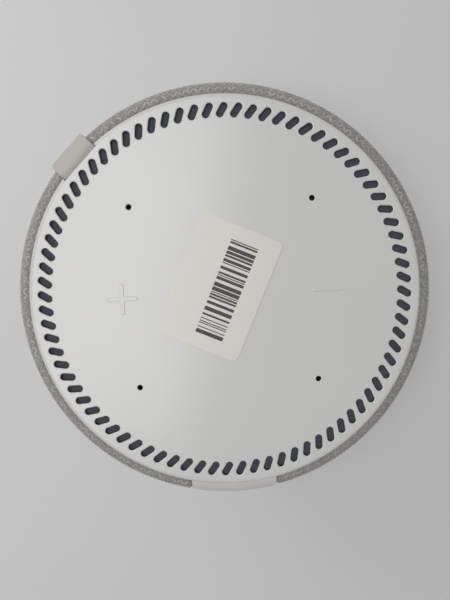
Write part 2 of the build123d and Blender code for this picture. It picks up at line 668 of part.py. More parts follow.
def make_driver_magnet():
    """Ring magnet."""
    return ring(WINDING_R + 2.0, WASHER_R + 1.0, WASHER_Z - MAGNET_T, WASHER_Z)


def make_driver_yoke():
    """Back plate with the pole that stands inside the coil."""
    low = WASHER_Z - MAGNET_T
    plate = fillet(disc(WASHER_R, low - YOKE_T, low).edges().sort_by(Axis.Z)[0], 0.8)
    return plate + disc(COIL_R - COIL_GAP, low, WASHER_TOP_Z)


def make_driver_terminals():
    """Small strip on the basket with two solder tags."""
    face_y = -BASKET_WALL_R - 1.3
    strip = block((-4.5, 4.5), (face_y, -BASKET_WALL_R + 1.0), (TERMINAL_Z - 1.2, TERMINAL_Z + 1.2))
    strip -= disc(BASKET_WALL_R + 0.02, TERMINAL_Z - 1.2, TERMINAL_Z + 1.2)
    tags = [block((x - 0.8, x + 0.8), (face_y - 1.2, face_y), (TERMINAL_Z - 0.2, TERMINAL_Z + 0.2))
            for x in (-WIRE_X, WIRE_X)]
    return strip + tags


def make_driver_screws():
    """Four screws that hold the driver to the baffle."""
    one = Pos(DRIVER_SCREW_R, 0, LIP_Z) * Rot(180, 0, 0) * screw(1.6, 1.0, 0.75, 3.2)
    return group(turned_copies(one, QUARTERS))


def make_speaker_wires():
    """Two wires from the tags, down through the box's floor to the main board."""
    wires = []
    start_y = -BASKET_WALL_R - 2.6
    end_z = BOARD_TOP_Z + 2.4
    for x in (-WIRE_X, WIRE_X):
        corners = [(x, start_y, TERMINAL_Z), (x, WIRE_Y, TERMINAL_Z), (x, WIRE_Y, end_z)]
        path = FilletPolyline(*corners, radius=4.0)
        wires.append(sweep(Plane(path @ 0, z_dir=path % 0) * Circle(WIRE_R), path=path))
    return group(wires)


def make_wire_grommet():
    """Rubber plug that seals the wires' hole in the box."""
    plug = post(0, WIRE_Y, GROMMET_R - 0.05, BOX_Z, BOX_Z + BOX_WALL)
    plug += post(0, WIRE_Y, GROMMET_R + 1.0, BOX_Z + BOX_WALL, BOX_Z + BOX_WALL + 0.8)
    return plug - [post(x, WIRE_Y, WIRE_R + 0.05, BOX_Z, BOX_Z + BOX_WALL + 1) for x in (-WIRE_X, WIRE_X)]


# Main board

def make_main_board():
    """Round board with a tongue for the power socket, notched round the base's bosses."""
    board = disc(BOARD_R, BOARD_Z, BOARD_TOP_Z)
    board += block((-7, 7), (0, USB_MOUTH_Y - 2.3), (BOARD_Z, BOARD_TOP_Z))
    board -= turned_copies(post(BASE_SCREW_R, 0, 3.9, BOARD_Z, BOARD_TOP_Z), QUARTERS)
    return board - turned_copies(post(BOARD_SCREW_R, 0, 1.1, BOARD_Z, BOARD_TOP_Z), QUARTERS)


def board_part(x, y, width, depth, height):
    """A rectangular part on top of the main board."""
    base = Pos(x, y, BOARD_TOP_Z)
    return base * Box(width, depth, height, align=(Align.CENTER, Align.CENTER, Align.MIN))


def shield_can(x, y, side, height):
    """A thin metal lid, open below, with round upright edges."""
    wall = 0.25
    outer = fillet(board_part(x, y, side, side, height).edges().filter_by(Axis.Z), 1.0)
    return outer - board_part(x, y, side - 2 * wall, side - 2 * wall, height - wall)


def make_processor():
    """Processor under its shield."""
    return board_part(*PROCESSOR_XY, width=11, depth=11, height=1.1)


def make_processor_shield():
    """Lid over the processor and its memory."""
    return shield_can(*PROCESSOR_XY, side=17, height=2.2)


def make_radio_shield():
    """Lid over the radio part."""
    return shield_can(*RADIO_XY, side=12, height=2.0)


def make_amplifier_chip():
    """Amplifier that drives the speaker."""
    return board_part(*AMPLIFIER_XY, width=6, depth=6, height=0.9)


def make_power_inductors():
    """Two coils of the power supply and the amplifier's filter."""
    coils = [board_part(x, INDUCTOR_Y, width=5, depth=5, height=2.8) for x in (2, 9)]
    return group([fillet(coil.edges().filter_by(Axis.Z), 0.8) for coil in coils])


def make_capacitors():
    """Three round capacitors near the power socket."""
    top = BOARD_TOP_Z + 2.9
    return group([post(x, CAPACITOR_Y, 2.0, BOARD_TOP_Z, top) for x in (-13, -8.4, 8.4)])


def make_antennas():
    """Two bent metal antennas that stand on the board's edge."""
    upright = block((28.2, 28.5), (-6, 6), (BOARD_TOP_Z, BOARD_TOP_Z + 3.0))
    arm = block((26.4, 28.5), (-6, -1), (BOARD_TOP_Z + 2.7, BOARD_TOP_Z + 3.0))
    return group(turned_copies(upright + arm, [-18, 162]))


def make_cable_connectors():
    """Sockets for the flat cables and the speaker's wires."""
    along = (CABLE_END_R - 3, CABLE_END_R - 0.02)
    touch = Rot(0, 0, CABLE_ANGLE) * block(along, (-5, 5), (BOARD_TOP_Z, BOARD_TOP_Z + 2))
    touch_top = Rot(0, 0, CABLE_ANGLE) * block(along, (-5, 5), (TOUCH_Z - 1.4, TOUCH_Z))
    wires = board_part(0, WIRE_Y, width=6, depth=4, height=2.38)
    switch = block((-4, 4), (22.0, 24.98), (BOARD_TOP_Z, BOARD_TOP_Z + 2))
    switch_top = block((-4, 4), (SWITCH_BOARD_Y - 1.2, SWITCH_BOARD_Y), (BUTTON_Z + 3.02, BUTTON_Z + 5))
    return group([touch, touch_top, wires, switch, switch_top])


def make_main_board_screws():
    """Four screws that hold the board to the base's posts."""
    one = Pos(BOARD_SCREW_R, 0, BOARD_TOP_Z) * Rot(180, 0, 0) * screw(2.0, 1.3, 0.85, 5.0)
    return group(turned_copies(one, QUARTERS))


def usb_slot(margin, low, high):
    """A block with round ends along the power socket's axis."""
    outline = SlotOverall(USB_WIDTH - 2 * margin, USB_HEIGHT - 2 * margin)
    end = Plane(origin=(0, low, USB_Z), x_dir=(1, 0, 0), z_dir=(0, 1, 0))
    return extrude(end * outline, amount=high - low)


def make_usb_shell():
    """Steel shell of the power socket, closed at the back."""
    back = USB_MOUTH_Y - USB_DEPTH
    return usb_slot(0, back, USB_MOUTH_Y) - usb_slot(USB_WALL, back + 0.4, USB_MOUTH_Y)


def make_usb_tongue():
    """Moulded insert of the socket with its flat contact tongue."""
    back = USB_MOUTH_Y - USB_DEPTH + 0.4
    insert = usb_slot(USB_WALL + 0.02, back, back + 1.4)
    return insert + block((-3.35, 3.35), (back + 1.4, USB_MOUTH_Y - 0.8), (USB_Z - 0.35, USB_Z + 0.35))


# Mute switch

def make_switch_board():
    """Small upright board behind the mute button."""
    y = SWITCH_BOARD_Y
    face = Plane(origin=(0, y, BUTTON_Z), x_dir=(1, 0, 0), z_dir=(0, 1, 0))
    board = extrude(face * RectangleRounded(16, 15, 1.5), amount=SWITCH_BOARD_T)
    return board - [pin_y(x, z, 1.0, y, y + SWITCH_BOARD_T) for x, z in SWITCH_SCREWS]


def make_mute_switch():
    """Body of the push switch, with a well for its plunger."""
    face = SWITCH_FACE_Y
    half = 2.6
    body = block((-half, half), (face - SWITCH_DEPTH, face), (BUTTON_Z - half, BUTTON_Z + half))
    return body - pin_y(0, BUTTON_Z, PLUNGER_R + BUTTON_CLEARANCE, face - 1.7, face)


def make_switch_plunger():
    """Plunger that the button pushes."""
    return pin_y(0, BUTTON_Z, PLUNGER_R, SWITCH_FACE_Y - 1.0, PLUNGER_TIP_Y)


def make_switch_cable():
    """Flat cable from the switch board to the main board."""
    cable_y = SWITCH_BOARD_Y - 0.6
    path = [(cable_y, BUTTON_Z + 3), (cable_y, BOARD_TOP_Z + 1), (25.0, BOARD_TOP_Z + 1)]
    return Rot(0, 0, 90) * ribbon(path, 2.5, 6.0, CABLE_T)


def make_switch_board_screws():
    """Two screws that hold the switch board to the panel."""
    one = Rot(-90, 0, 0) * screw(1.6, 0.9, 0.7, 5.0)
    return group([Pos(x, SWITCH_BOARD_Y, z) * one for x, z in SWITCH_SCREWS])


NODES = {
    "top_plate": make_top_plate,
    "acoustic_mesh": make_acoustic_mesh,
    "paper_label": make_paper_label,
    "fabric_sleeve": make_fabric_sleeve,
    "side_tag": make_side_tag,
    "rear_panel": make_rear_panel,
    "mute_button": make_mute_button,
    "base_cover": make_base_cover,
    "rubber_foot": make_rubber_foot,
    "base_screws": make_base_screws,
    "inner_shell": make_inner_shell,
    "touch_board": make_touch_board,
    "microphones": make_microphones,
    "microphone_gaskets": make_microphone_gaskets,
    "touch_foam_pads": make_touch_foam_pads,
    "indicator_leds": make_indicator_leds,
    "light_diffuser": make_light_diffuser,
    "touch_board_screws": make_touch_board_screws,
    "touch_cable": make_touch_cable,
    "speaker_box": make_speaker_box,
    "box_seal": make_box_seal,
    "speaker_baffle": make_speaker_baffle,
    "box_screws": make_box_screws,
    "driver_gasket": make_driver_gasket,
    "driver_basket": make_driver_basket,
    "driver_surround": make_driver_surround,
    "driver_cone": make_driver_cone,
    "driver_dust_cap": make_driver_dust_cap,
    "voice_coil": make_voice_coil,
    "driver_spider": make_driver_spider,
    "driver_washer": make_driver_washer,
    "driver_magnet": make_driver_magnet,
    "driver_yoke": make_driver_yoke,
    "driver_terminals": make_driver_terminals,
    "driver_screws": make_driver_screws,
    "speaker_wires": make_speaker_wires,
    "wire_grommet": make_wire_grommet,
    "main_board": make_main_board,
    "processor": make_processor,
    "processor_shield": make_processor_shield,
    "radio_shield": make_radio_shield,
    "amplifier_chip": make_amplifier_chip,
    "power_inductors": make_power_inductors,
    "capacitors": make_capacitors,
    "antennas": make_antennas,
    "cable_connectors": make_cable_connectors,
    "main_board_screws": make_main_board_screws,
    "usb_shell": make_usb_shell,
    "usb_tongue": make_usb_tongue,
    "switch_board": make_switch_board,
    "mute_switch": make_mute_switch,
    "switch_plunger": make_switch_plunger,
    "switch_cable": make_switch_cable,
    "switch_board_screws": make_switch_board_screws,
}

os.makedirs("parts", exist_ok=True)
for name, make in NODES.items():
    export_step(make(), f"parts/{name}.step")
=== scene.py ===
"""Small round smart speaker: its outside, modelled round the CAD frame, and a finish for every part."""

import math
import random
from contextlib import contextmanager

import bmesh
import bpy
from mathutils import Matrix, Vector


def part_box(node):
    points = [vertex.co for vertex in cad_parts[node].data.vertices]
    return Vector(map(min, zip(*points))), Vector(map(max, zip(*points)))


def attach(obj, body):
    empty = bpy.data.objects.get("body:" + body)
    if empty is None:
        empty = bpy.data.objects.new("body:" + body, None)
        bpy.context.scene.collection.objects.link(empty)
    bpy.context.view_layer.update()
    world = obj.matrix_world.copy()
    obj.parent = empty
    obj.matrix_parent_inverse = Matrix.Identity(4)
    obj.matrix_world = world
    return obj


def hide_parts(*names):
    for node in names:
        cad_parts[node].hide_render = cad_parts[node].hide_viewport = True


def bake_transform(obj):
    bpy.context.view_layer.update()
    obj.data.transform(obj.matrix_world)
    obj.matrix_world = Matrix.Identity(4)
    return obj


bl_info = {
    "name": "Small Smart Speaker",
    "version": (1, 0, 0),
    "blender": (4, 5, 0),
    "location": "View3D > Sidebar > Speaker",
    "description": "Models the outside of a small round smart speaker and finishes its parts",
    "category": "Add Mesh",
}

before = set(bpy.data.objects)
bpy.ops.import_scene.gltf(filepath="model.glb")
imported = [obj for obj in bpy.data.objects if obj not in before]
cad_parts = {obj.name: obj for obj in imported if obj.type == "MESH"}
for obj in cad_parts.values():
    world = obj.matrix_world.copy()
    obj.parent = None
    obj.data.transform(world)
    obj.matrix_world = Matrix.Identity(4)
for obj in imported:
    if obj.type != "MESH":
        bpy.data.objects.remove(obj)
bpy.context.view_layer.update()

MM = 0.001
TURN = 2 * math.pi

# Bodies, the knit's own map, and materials beside the CAD parts' slots
HOUSING = "housing"
KNIT = "knit"
INK = "label_ink"
TABLE = "table_top"

# Fineness of the meshes
SLOT_POINTS = 20
LIP_STEPS = 3
RIM_STEPS = 8
HOLE_POINTS = 24
BAR_POINTS = 32
BAR_STEPS = 4
CLOTH_POINTS = 320
CLOTH_BANDS = 6
LABEL_STEPS = 8
LABEL_EDGE_STEPS = 2
TAG_ROWS = 96
TAG_POINTS = 32
TAG_CROWDING = 1.6
STITCH_POINTS = 4
WINDOW_STEPS = 4
AREA_STEPS = 200
ROLL_STEPS = 10
WAVE_STEPS = 6
SECTOR_STEPS = 3
SMOOTH_ANGLE = math.radians(40)

# Closeness at which places count as one, lengths as equal and faces as level
MERGE = 0.002 * MM
NEAR = 0.02 * MM
LEVEL = 0.9999

# Small fixed sizes
HOOK_ROOT = 0.5 * MM
NIB_PLAY = 0.1 * MM
NIB_LAND = 0.4 * MM
NIB_DEPTH = 1.0 * MM
BOSS_ROOT = 0.3 * MM
CLOTH_PLAY = 0.1 * MM
INK_FILM = 0.012 * MM
KNIT_FADE = 1.0 * MM
WINDOW_BAND = 1.2 * MM
WINDOW_EDGE = 0.1 * MM
HEM_DEPTH = 0.5 * MM

# Shares of a lip, a mark's height and the label's thickness
LIP_MIDDLE = 0.3
LIP_BORDER = 1.25
MARK_SOFT = 0.9
LABEL_SOFT = 0.3

# Widths and gaps that the label's bars are drawn from, in units
BAR_WIDTHS = (1, 1, 2, 2, 3, 4)
BAR_GAPS = (1, 1, 2, 3)
BAR_SEED = 3

# Sockets of a mix node that is set to colours
MIX_FACTOR = 0
MIX_FIRST = 6
MIX_SECOND = 7
MIX_RESULT = 2

# Moulded finishes: slot, darker and lighter colour, least and most roughness, grain's scale and depth
MOULDED = (
    ("shell_plastic", (58, 58, 60), (70, 70, 72), 0.5, 0.65, 4000, 0.012),
    ("box_plastic", (28, 28, 30), (42, 42, 44), 0.48, 0.62, 4000, 0.015),
    ("chip_resin", (26, 26, 28), (40, 40, 42), 0.55, 0.7, 6000, 0.01),
    ("ferrite", (38, 38, 40), (62, 62, 64), 0.6, 0.8, 2500, 0.03),
    ("basket_paint", (24, 24, 26), (36, 36, 38), 0.35, 0.5, 3000, 0.01),
    ("cone_paper", (34, 34, 36), (58, 58, 60), 0.75, 0.92, 1800, 0.05),
    ("soft_rubber", (22, 22, 23), (38, 38, 39), 0.6, 0.75, 3500, 0.01),
    ("connector_plastic", (222, 216, 200), (236, 231, 217), 0.42, 0.55, 5000, 0.006),
    ("black_nylon", (20, 20, 22), (34, 34, 36), 0.42, 0.56, 5000, 0.006),
    ("cable_film", (196, 118, 40), (216, 142, 60), 0.3, 0.42, 900, 0.004),
    ("wire_jacket", (150, 30, 28), (176, 44, 40), 0.4, 0.5, 2500, 0.004),
)

# Metals: slot, darker and lighter colour, least and most roughness
METALS = (
    ("can_metal", (170, 170, 168), (205, 205, 203), 0.25, 0.4),
    ("screw_steel", (96, 96, 100), (140, 140, 144), 0.3, 0.45),
    ("magnet_steel", (150, 150, 154), (188, 188, 192), 0.28, 0.42),
    ("can_aluminium", (186, 187, 190), (220, 221, 224), 0.22, 0.38),
)
METAL_SCALE = 900
METAL_DEPTH = 0.004

# Room and table
ROOM_LIGHT = 0.25
ROOM_SEEN = 0.5
ROOM_TINT = (0.965, 0.975, 1.03, 1)
TABLE_SIZE = 6
TABLE_NEAR = 0.2
TABLE_FAR = 0.9

# Lamps: name, place, turns in degrees, width, depth, power and tint
LAMPS = (
    ("window_lamp", (0.246, -0.03, 0.854), (0, 0, -11.3), 0.42, 0.7, 3.9, (1.0, 0.985, 0.955)),
    ("side_lamp", (0.36, -0.38, 0.3), (63, 0, 43), 0.4, 0.4, 0.7, (1.0, 0.99, 0.97)),
)

# Camera
CAMERA_PLACE = (0, -5.64 * MM, 150.9 * MM)
CAMERA_AHEAD = (0.00032, 0.0708, -0.9975)
CAMERA_UP = (-0.0506, -0.9962, -0.0707)
LENS = 28.0
SENSOR = 36.0
CLIP_START = 0.01


def length(name, description, millimetres):
    """A size that a user may change, kept in metres."""
    return bpy.props.FloatProperty(
        name=name, description=description, default=millimetres * MM, unit="LENGTH", precision=5)


def count(name, description, number):
    """A number of like things."""
    return bpy.props.IntProperty(name=name, description=description, default=number, min=1)


def share(name, description, value):
    """A plain factor."""
    return bpy.props.FloatProperty(name=name, description=description, default=value, subtype="FACTOR")


def angle(name, description, degrees):
    """An angle that a user may change, kept in radians."""
    return bpy.props.FloatProperty(
        name=name, description=description, default=math.radians(degrees), subtype="ANGLE")


def linear(value):
    """A colour channel from 0 to 255, as it looks on a screen, as the light it stands for."""
    part = value / 255
    return part / 12.92 if part <= 0.04045 else ((part + 0.055) / 1.055) ** 2.4


def shown(*channels):
    """A colour as it looks on a screen, from 0 to 255, as shader values."""
    return (*[linear(channel) for channel in channels], 1)


def colour(name, description, *channels):
    """A colour that a user may change, given as it looks on a screen."""
    return bpy.props.FloatVectorProperty(
        name=name, description=description, subtype="COLOR", size=4, min=0, max=1, default=shown(*channels))


class SpeakerBody(bpy.types.PropertyGroup):
    """Outline of the body and its fabric."""

    height: length("Height", "Table to the plate's top face", 54)
    radius: length("Radius", "Widest radius over the fabric", 45)
    belly: length("Belly", "Height of the widest place", 34)
    shoulder: length("Shoulder", "Rounding of the fabric round the plate", 5)
    shoulder_drop: length("Shoulder Drop", "Crest of the fabric below the plate's top face", 1.2)
    shoulder_inset: length("Shoulder Inset", "The shoulder's widest place, inside the belly", 0.2)
    lower_side: length("Lower Side", "Radius of the slow curve below the belly", 300)
    bottom: length("Bottom", "Rounding under the side", 9.5)
    bottom_start: length("Bottom Start", "Height where that rounding starts", 11.5)
    seam: length("Seam", "Radius of the fabric's upper edge", 41)
    base_seam: length("Base Seam", "Radius of the fabric's lower edge", 36.4)
    tuck: length("Tuck", "Rounding of the fabric into its seams", 0.8)
    tuck_depth: length("Tuck Depth", "Fabric hidden in each seam", 0.4)
    wales: count("Wales", "Columns of stitches round the body", 156)
    courses: count("Courses", "Rows of stitches from seam to seam", 36)
    climb: share("Climb", "How far a stitch's leg climbs, in rows", 0.8)
    relief: length("Relief", "Height of the yarn over the gaps", 0.18)
    window_width: length("Window Width", "Width of the rear window in the fabric", 18.6)
    window_low: length("Window Height", "Lower edge of that window", 6.4)
    window_corner: length("Window Corner", "Rounding of its lower corners", 3.1)
    hem: length("Hem", "Rounding of the fabric's edge at the window", 1)


class SpeakerPlate(bpy.types.PropertyGroup):
    """Touch plate."""

    radius: length("Radius", "Outside of the plate", 40.9)
    thickness: length("Thickness", "Thickness in the middle", 2)
    rim: length("Rim", "Rounding of the rim", 0.9)
    skirt: length("Skirt", "Inside radius of the skirt", 39.3)
    skirt_low: length("Skirt Height", "Height of the skirt's lower edge", 49.6)
    ring: length("Ring", "Centre line of the slots", 37.4)
    ring_inner: length("Ring Inside", "Inside of the thin ring", 35.3)
    ring_thickness: length("Ring Thickness", "Thickness at the slots", 0.8)
    slots: count("Slots", "Slots in the ring", 80)
    slot_length: length("Slot Length", "Length over the round ends", 3.2)
    slot_width: length("Slot Width", "Width of a slot", 1.5)
    slot_tilt: angle("Slot Tilt", "Turn of a slot from the radial direction", -30)
    slot_start: angle("Slot Start", "Angle of the first slot", 2.54)
    slot_lip: length("Slot Lip", "Rounding of a slot's edge", 0.2)
    draft: length("Draft", "How much slots and holes widen towards the underside", 0.25)
    hole_spacing: length("Hole Spacing", "Side of the square of microphone holes", 37.7)
    hole: length("Hole", "Radius of a microphone hole", 0.58)
    hole_lip: length("Hole Lip", "Rounding of a microphone hole's edge", 0.12)
    mark_reach: length("Mark Reach", "Distance of the marks from the middle", 21.4)
    mark_length: length("Mark Length", "Length of a mark's bar", 6.5)
    mark_width: length("Mark Width", "Width of a mark's bar", 0.9)
    mark_height: length("Mark Height", "How far a mark stands up", 0.12)
    notch_turn: angle("Notch Turn", "Where the tag's notch is", -45)
    notch_width: length("Notch Width", "Width of the tag's notch", 9.5)
    notch_face: length("Notch Face", "Distance of the notch's face from the axis", 39.7)
    hooks: count("Hooks", "Snap arms under the rim", 6)
    hook_width: length("Hook Width", "Width of a snap arm", 5)
    hook_thickness: length("Hook Thickness", "Thickness of a snap arm", 0.8)
    hook_nib: length("Hook Nib", "How far an arm's nib stands out", 0.65)
    ledge: length("Ledge", "Height of the shell's ledge that the nibs hold", 48)
    bosses: count("Bosses", "Screw bosses under the plate", 4)
    boss_ring: length("Boss Ring", "Distance of the bosses from the axis", 29)
    boss: length("Boss", "Radius of a boss", 2.2)
    boss_low: length("Boss Height", "Height of a boss's lower end", 50.6)
    pilot: length("Pilot", "Radius of a boss's screw hole", 0.8)


class SpeakerTag(bpy.types.PropertyGroup):
    """Strip that comes out of the seam and lies over the fabric."""

    turn: angle("Turn", "Where the tag is", -45)
    width: length("Width", "Width of the strip", 9.3)
    thickness: length("Thickness", "Thickness of the strip", 0.9)
    gap: length("Gap", "Clearance over the fabric", 0.1)
    face: length("Face", "Distance of its inner face from the axis", 39.8)
    bend: length("Bend", "Rounding where it leaves the seam", 1.7)
    sunk: length("Sunk", "Straight length at its ends", 1.5)
    low: length("Lower End", "Height of its lower end", 38)
    corner: length("Corner", "Rounding of its lower corners", 2)
    edge: length("Edge", "Rounding along its edges", 0.3)


class SpeakerLabel(bpy.types.PropertyGroup):
    """Paper label on the plate."""

    length: length("Length", "Long side of the label", 26.8)
    width: length("Width", "Short side of the label", 17.8)
    thickness: length("Thickness", "Thickness of the paper", 0.12)
    corner: length("Corner", "Rounding of its corners", 1.5)
    x: length("X", "Middle of the label", 0.9)
    y: length("Y", "Middle of the label", -1.3)
    turn: angle("Turn", "Direction of its long side", 65.6)
    bars_length: length("Bars Length", "Length of the block of bars", 20.6)
    bars_height: length("Bars Height", "Height of the block of bars", 6)
    bars_shift: length("Bars Shift", "Place of the block across the label", 1.45)
    bar_unit: length("Bar Unit", "Width of the thinnest bar", 0.21)


class SpeakerDriver(bpy.types.PropertyGroup):
    """Rings of the driver: the surround and the spider."""

    sectors: count("Sectors", "Parts of each ring, which bend along their own radius", 32)
    cone: length("Cone", "Radius of the cone", 14)
    roll: length("Roll", "Outer radius of the surround's roll", 17.3)
    lip: length("Lip", "Height of the surround's glued lips", 43.6)
    lip_inner: length("Inner Lip", "Width of the lip on the cone", 1.4)
    lip_outer: length("Outer Lip", "Width of the lip on the basket", 1.9)
    rubber: length("Rubber", "Thickness of the surround", 0.35)
    spider: length("Spider", "Height of the spider", 35.3)
    spider_inner: length("Spider Inside", "Inner radius of the spider", 5.3)
    spider_outer: length("Spider Outside", "Outer radius of the spider", 14.5)
    spider_edge: length("Spider Edge", "Width of the spider's level edges", 1.2)
    spider_cloth: length("Spider Cloth", "Thickness of the spider", 0.3)
    waves: count("Waves", "Waves of the spider, up and down", 6)
    swing: length("Swing", "Height of a wave", 0.45)


class SpeakerColours(bpy.types.PropertyGroup):
    """Colours of the parts that show."""

    plate: colour("Plate", "Touch plate", 213, 213, 211)
    plate_low: colour("Plate, Darker", "Cloudy change over the touch plate", 208, 208, 206)
    panel: colour("Panel", "Rear panel and button", 218, 216, 214)
    panel_low: colour("Panel, Darker", "Cloudy change over the rear panel", 213, 211, 209)
    yarn: colour("Yarn", "Raised yarn of the fabric", 200, 197, 193)
    # Yarn, Darker is painted shade: the colour of the gaps between the yarns, where shade falls.
    yarn_gap_shade: colour("Yarn, Darker", "Gaps between the yarns", 134, 132, 130)
    tag: colour("Tag", "Side tag", 188, 187, 180)
    cloth: colour("Cloth", "Mesh cloth behind the slots", 66, 72, 84)
    # Cloth, Darker is painted shade: the colour of the dips between the threads.
    cloth_gap_shade: colour("Cloth, Darker", "Gaps in the mesh cloth", 30, 33, 40)
    paper: colour("Paper", "Label", 224, 222, 218)
    ink: colour("Ink", "Bars on the label", 58, 56, 56)
    base: colour("Base", "Base cover", 150, 150, 148)
    foot: colour("Foot", "Rubber foot", 98, 98, 98)
    floor: colour("Floor", "Table top", 221, 221, 221)


def body():
    """Sizes of the body."""
    return bpy.context.scene.speaker_body


def plate():
    """Sizes of the plate."""
    return bpy.context.scene.speaker_plate


def tag():
    """Sizes of the tag."""
    return bpy.context.scene.speaker_tag


def label():
    """Sizes of the label."""
    return bpy.context.scene.speaker_label


def driver():
    """Sizes of the driver's rings."""
    return bpy.context.scene.speaker_driver


def tints():
    """Colours of the parts that show."""
    return bpy.context.scene.speaker_colours


# Places and directions

def reach(place):
    """Distance from the axis."""
    return math.hypot(place.x, place.y)


def polar(radius, turn, height):
    """A point by its distance from the axis, its angle and its height."""
    return Vector((radius * math.cos(turn), radius * math.sin(turn), height))


def outward(turn):
    """Direction of an angle in the section."""
    return Vector((math.cos(turn), math.sin(turn)))


def level(way):
    """The level direction of a vector."""
    return Vector((way.x, way.y, 0)).normalized()


def at_radius(radius, height):
    """Moves a point outwards or inwards to a distance from the axis, and to a height."""
    return lambda place: polar(radius, math.atan2(place.y, place.x), height)


def near(value, target):
    """True if two lengths agree."""
    return abs(value - target) < NEAR


def edges_at(radius, height):
    """Test for the edges at a distance from the axis and a height."""
    def test(edge):
        return all(near(reach(end.co), radius) and near(end.co.z, height) for end in edge.verts)
    return test


def open_edges_at(height):
    """Test for the open edges at a height."""
    def test(edge):
        return edge.is_boundary and all(near(end.co.z, height) for end in edge.verts)
    return test


# Working with meshes

def only(piece):
    """Makes one piece the selected and active one."""
    bpy.ops.object.select_all(action="DESELECT")
    piece.select_set(True)
    bpy.context.view_layer.objects.active = piece


def add_piece(name, operator, **settings):
    """Adds a primitive with nothing else selected and returns it under its own name."""
    bpy.ops.object.select_all(action="DESELECT")
    operator(**settings)
    piece = bpy.context.object
    piece.name = name
    piece.data.name = name
    return piece


@contextmanager
def editing(piece):
    """Edit mode on one piece."""
    only(piece)
    bpy.ops.object.mode_set(mode="EDIT")
    yield
    bpy.ops.object.mode_set(mode="OBJECT")


def pick(piece, kind, test):
    """Selects the vertices, edges or faces that pass a test, and nothing else."""
    bpy.context.tool_settings.mesh_select_mode = [kind == word for word in ("verts", "edges", "faces")]
    bpy.ops.mesh.select_all(action="DESELECT")
    mesh = bmesh.from_edit_mesh(piece.data)
    for item in getattr(mesh, kind):
        if test(item):
            item.select_set(True)
    mesh.select_flush_mode()
    bmesh.update_edit_mesh(piece.data)


def pick_all():
    """Selects the whole mesh."""
    bpy.ops.mesh.select_all(action="SELECT")


def merge():
    """Merges the vertices of the whole mesh that share a place."""
    pick_all()
    bpy.ops.mesh.remove_doubles(threshold=MERGE)


def face_outwards():
    """Points all faces of the mesh outwards."""
    pick_all()
    bpy.ops.mesh.normals_make_consistent(inside=False)


def spin_copies(copies):
    """Repeats the whole mesh round the axis."""
    pick_all()
    steps = copies - 1
    swing = TURN * steps / copies
    bpy.ops.mesh.spin(steps=steps, dupli=True, angle=swing, center=(0, 0, 0), axis=(0, 0, 1))


def place_selected(piece, place):
    """Moves each selected vertex to where a function of its place says."""
    mesh = bmesh.from_edit_mesh(piece.data)
    for vertex in mesh.verts:
        if vertex.select:
            vertex.co = place(vertex.co)
    bmesh.update_edit_mesh(piece.data)


def extrude_edges(piece, place):
    """Extrudes the selected edges and places the new ones."""
    bpy.ops.mesh.extrude_edges_move()
    place_selected(piece, place)


def extrude_rings(piece, centre, rings):
    """Extrudes a selected circle through rings, each with its radius and its height over the centre."""
    for radius, height in rings:
        middle = centre + Vector((0, 0, height))
        extrude_edges(piece, lambda place: middle + radius * level(place - centre))


def apply_modifier(piece, kind, **settings):
    """Adds a modifier and applies it."""
    only(piece)
    modifier = piece.modifiers.new(kind.title(), kind)
    for key, value in settings.items():
        setattr(modifier, key, value)
    bpy.ops.object.modifier_apply(modifier=modifier.name)


def combine(piece, other, operation):
    """Applies a Boolean with another piece, which is then gone."""
    apply_modifier(piece, "BOOLEAN", operation=operation, object=other, solver="EXACT")
    bpy.data.objects.remove(other)


def join(piece, others):
    """Joins other pieces into one mesh."""
    only(piece)
    for other in others:
        other.select_set(True)
    bpy.ops.object.join()


def settle(piece):
    """Puts a piece's place into its mesh, so that its object sits at the origin."""
    only(piece)
    bpy.ops.object.transform_apply(location=True, rotation=True, scale=True)


def smooth_but_flats(piece):
    """Shades a piece smooth, but leaves its level faces flat."""
    for face in piece.data.polygons:
        face.use_smooth = abs(face.normal.z) < LEVEL


# Handing pieces over

def title(slot):
    """Name of the material for a slot."""
    return slot.replace("_", " ").title()


def finish(slot):
    """The finished material for a slot."""
    return bpy.data.materials[title(slot)]


def cover(piece, slot):
    """Gives a piece one finish all over."""
    piece.data.materials.clear()
    piece.data.materials.append(finish(slot))


def dress(piece, slot, *replaced):
    """Gives a piece its finish and hides the CAD nodes that it stands for."""
    cover(piece, slot)
    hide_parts(*replaced)


def hand_over(piece, slot, *replaced):
    """Dresses a piece that rides on the housing."""
    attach(piece, HOUSING)
    dress(piece, slot, *replaced)


# Outline of the body

def side_arcs():
    """Arcs of the body's outline from the plate's seam down: centre, radius, start and end angle."""
    size = body()
    shoulder = Vector((size.radius - size.shoulder_inset - size.shoulder,
                       size.height - size.shoulder_drop - size.shoulder))
    rise = shoulder.y - size.belly
    upper = (rise**2 / size.shoulder_inset + size.shoulder_inset) / 2 + size.shoulder
    lean = math.asin(rise / (upper - size.shoulder))
    sink = math.asin((size.belly - size.bottom_start) / size.lower_side)
    inner = size.lower_side - size.bottom
    under = Vector((size.radius - size.lower_side + inner * math.cos(sink),
                    size.belly - inner * math.sin(sink)))
    return [
        (shoulder, size.shoulder, math.pi / 2, lean),
        (Vector((size.radius - upper, size.belly)), upper, lean, 0),
        (Vector((size.radius - size.lower_side, size.belly)), size.lower_side, 0, -sink),
        (under, size.bottom, -sink, -math.pi / 2),
    ]


class Section:
    """A line of arcs in the body's section with straight ends, walked by distance."""

    def __init__(self, arcs, ends):
        self.arcs = arcs
        self.ends = ends
        self.lengths = [radius * abs(start - end) for _, radius, start, end in arcs]
        self.total = sum(self.lengths) + 2 * ends

    def at(self, distance):
        """Point and outward direction at a distance along the line."""
        left = distance - self.ends
        last = len(self.arcs) - 1
        for index, (centre, radius, start, end) in enumerate(self.arcs):
            size = self.lengths[index]
            if left <= size or index == last:
                turn = start + (end - start) * min(max(left / size, 0), 1)
                past = min(left, 0) + max(left - size, 0)
                ahead = Vector((math.sin(turn), -math.cos(turn)))
                return centre + radius * outward(turn) + past * ahead, outward(turn)
            left -= size


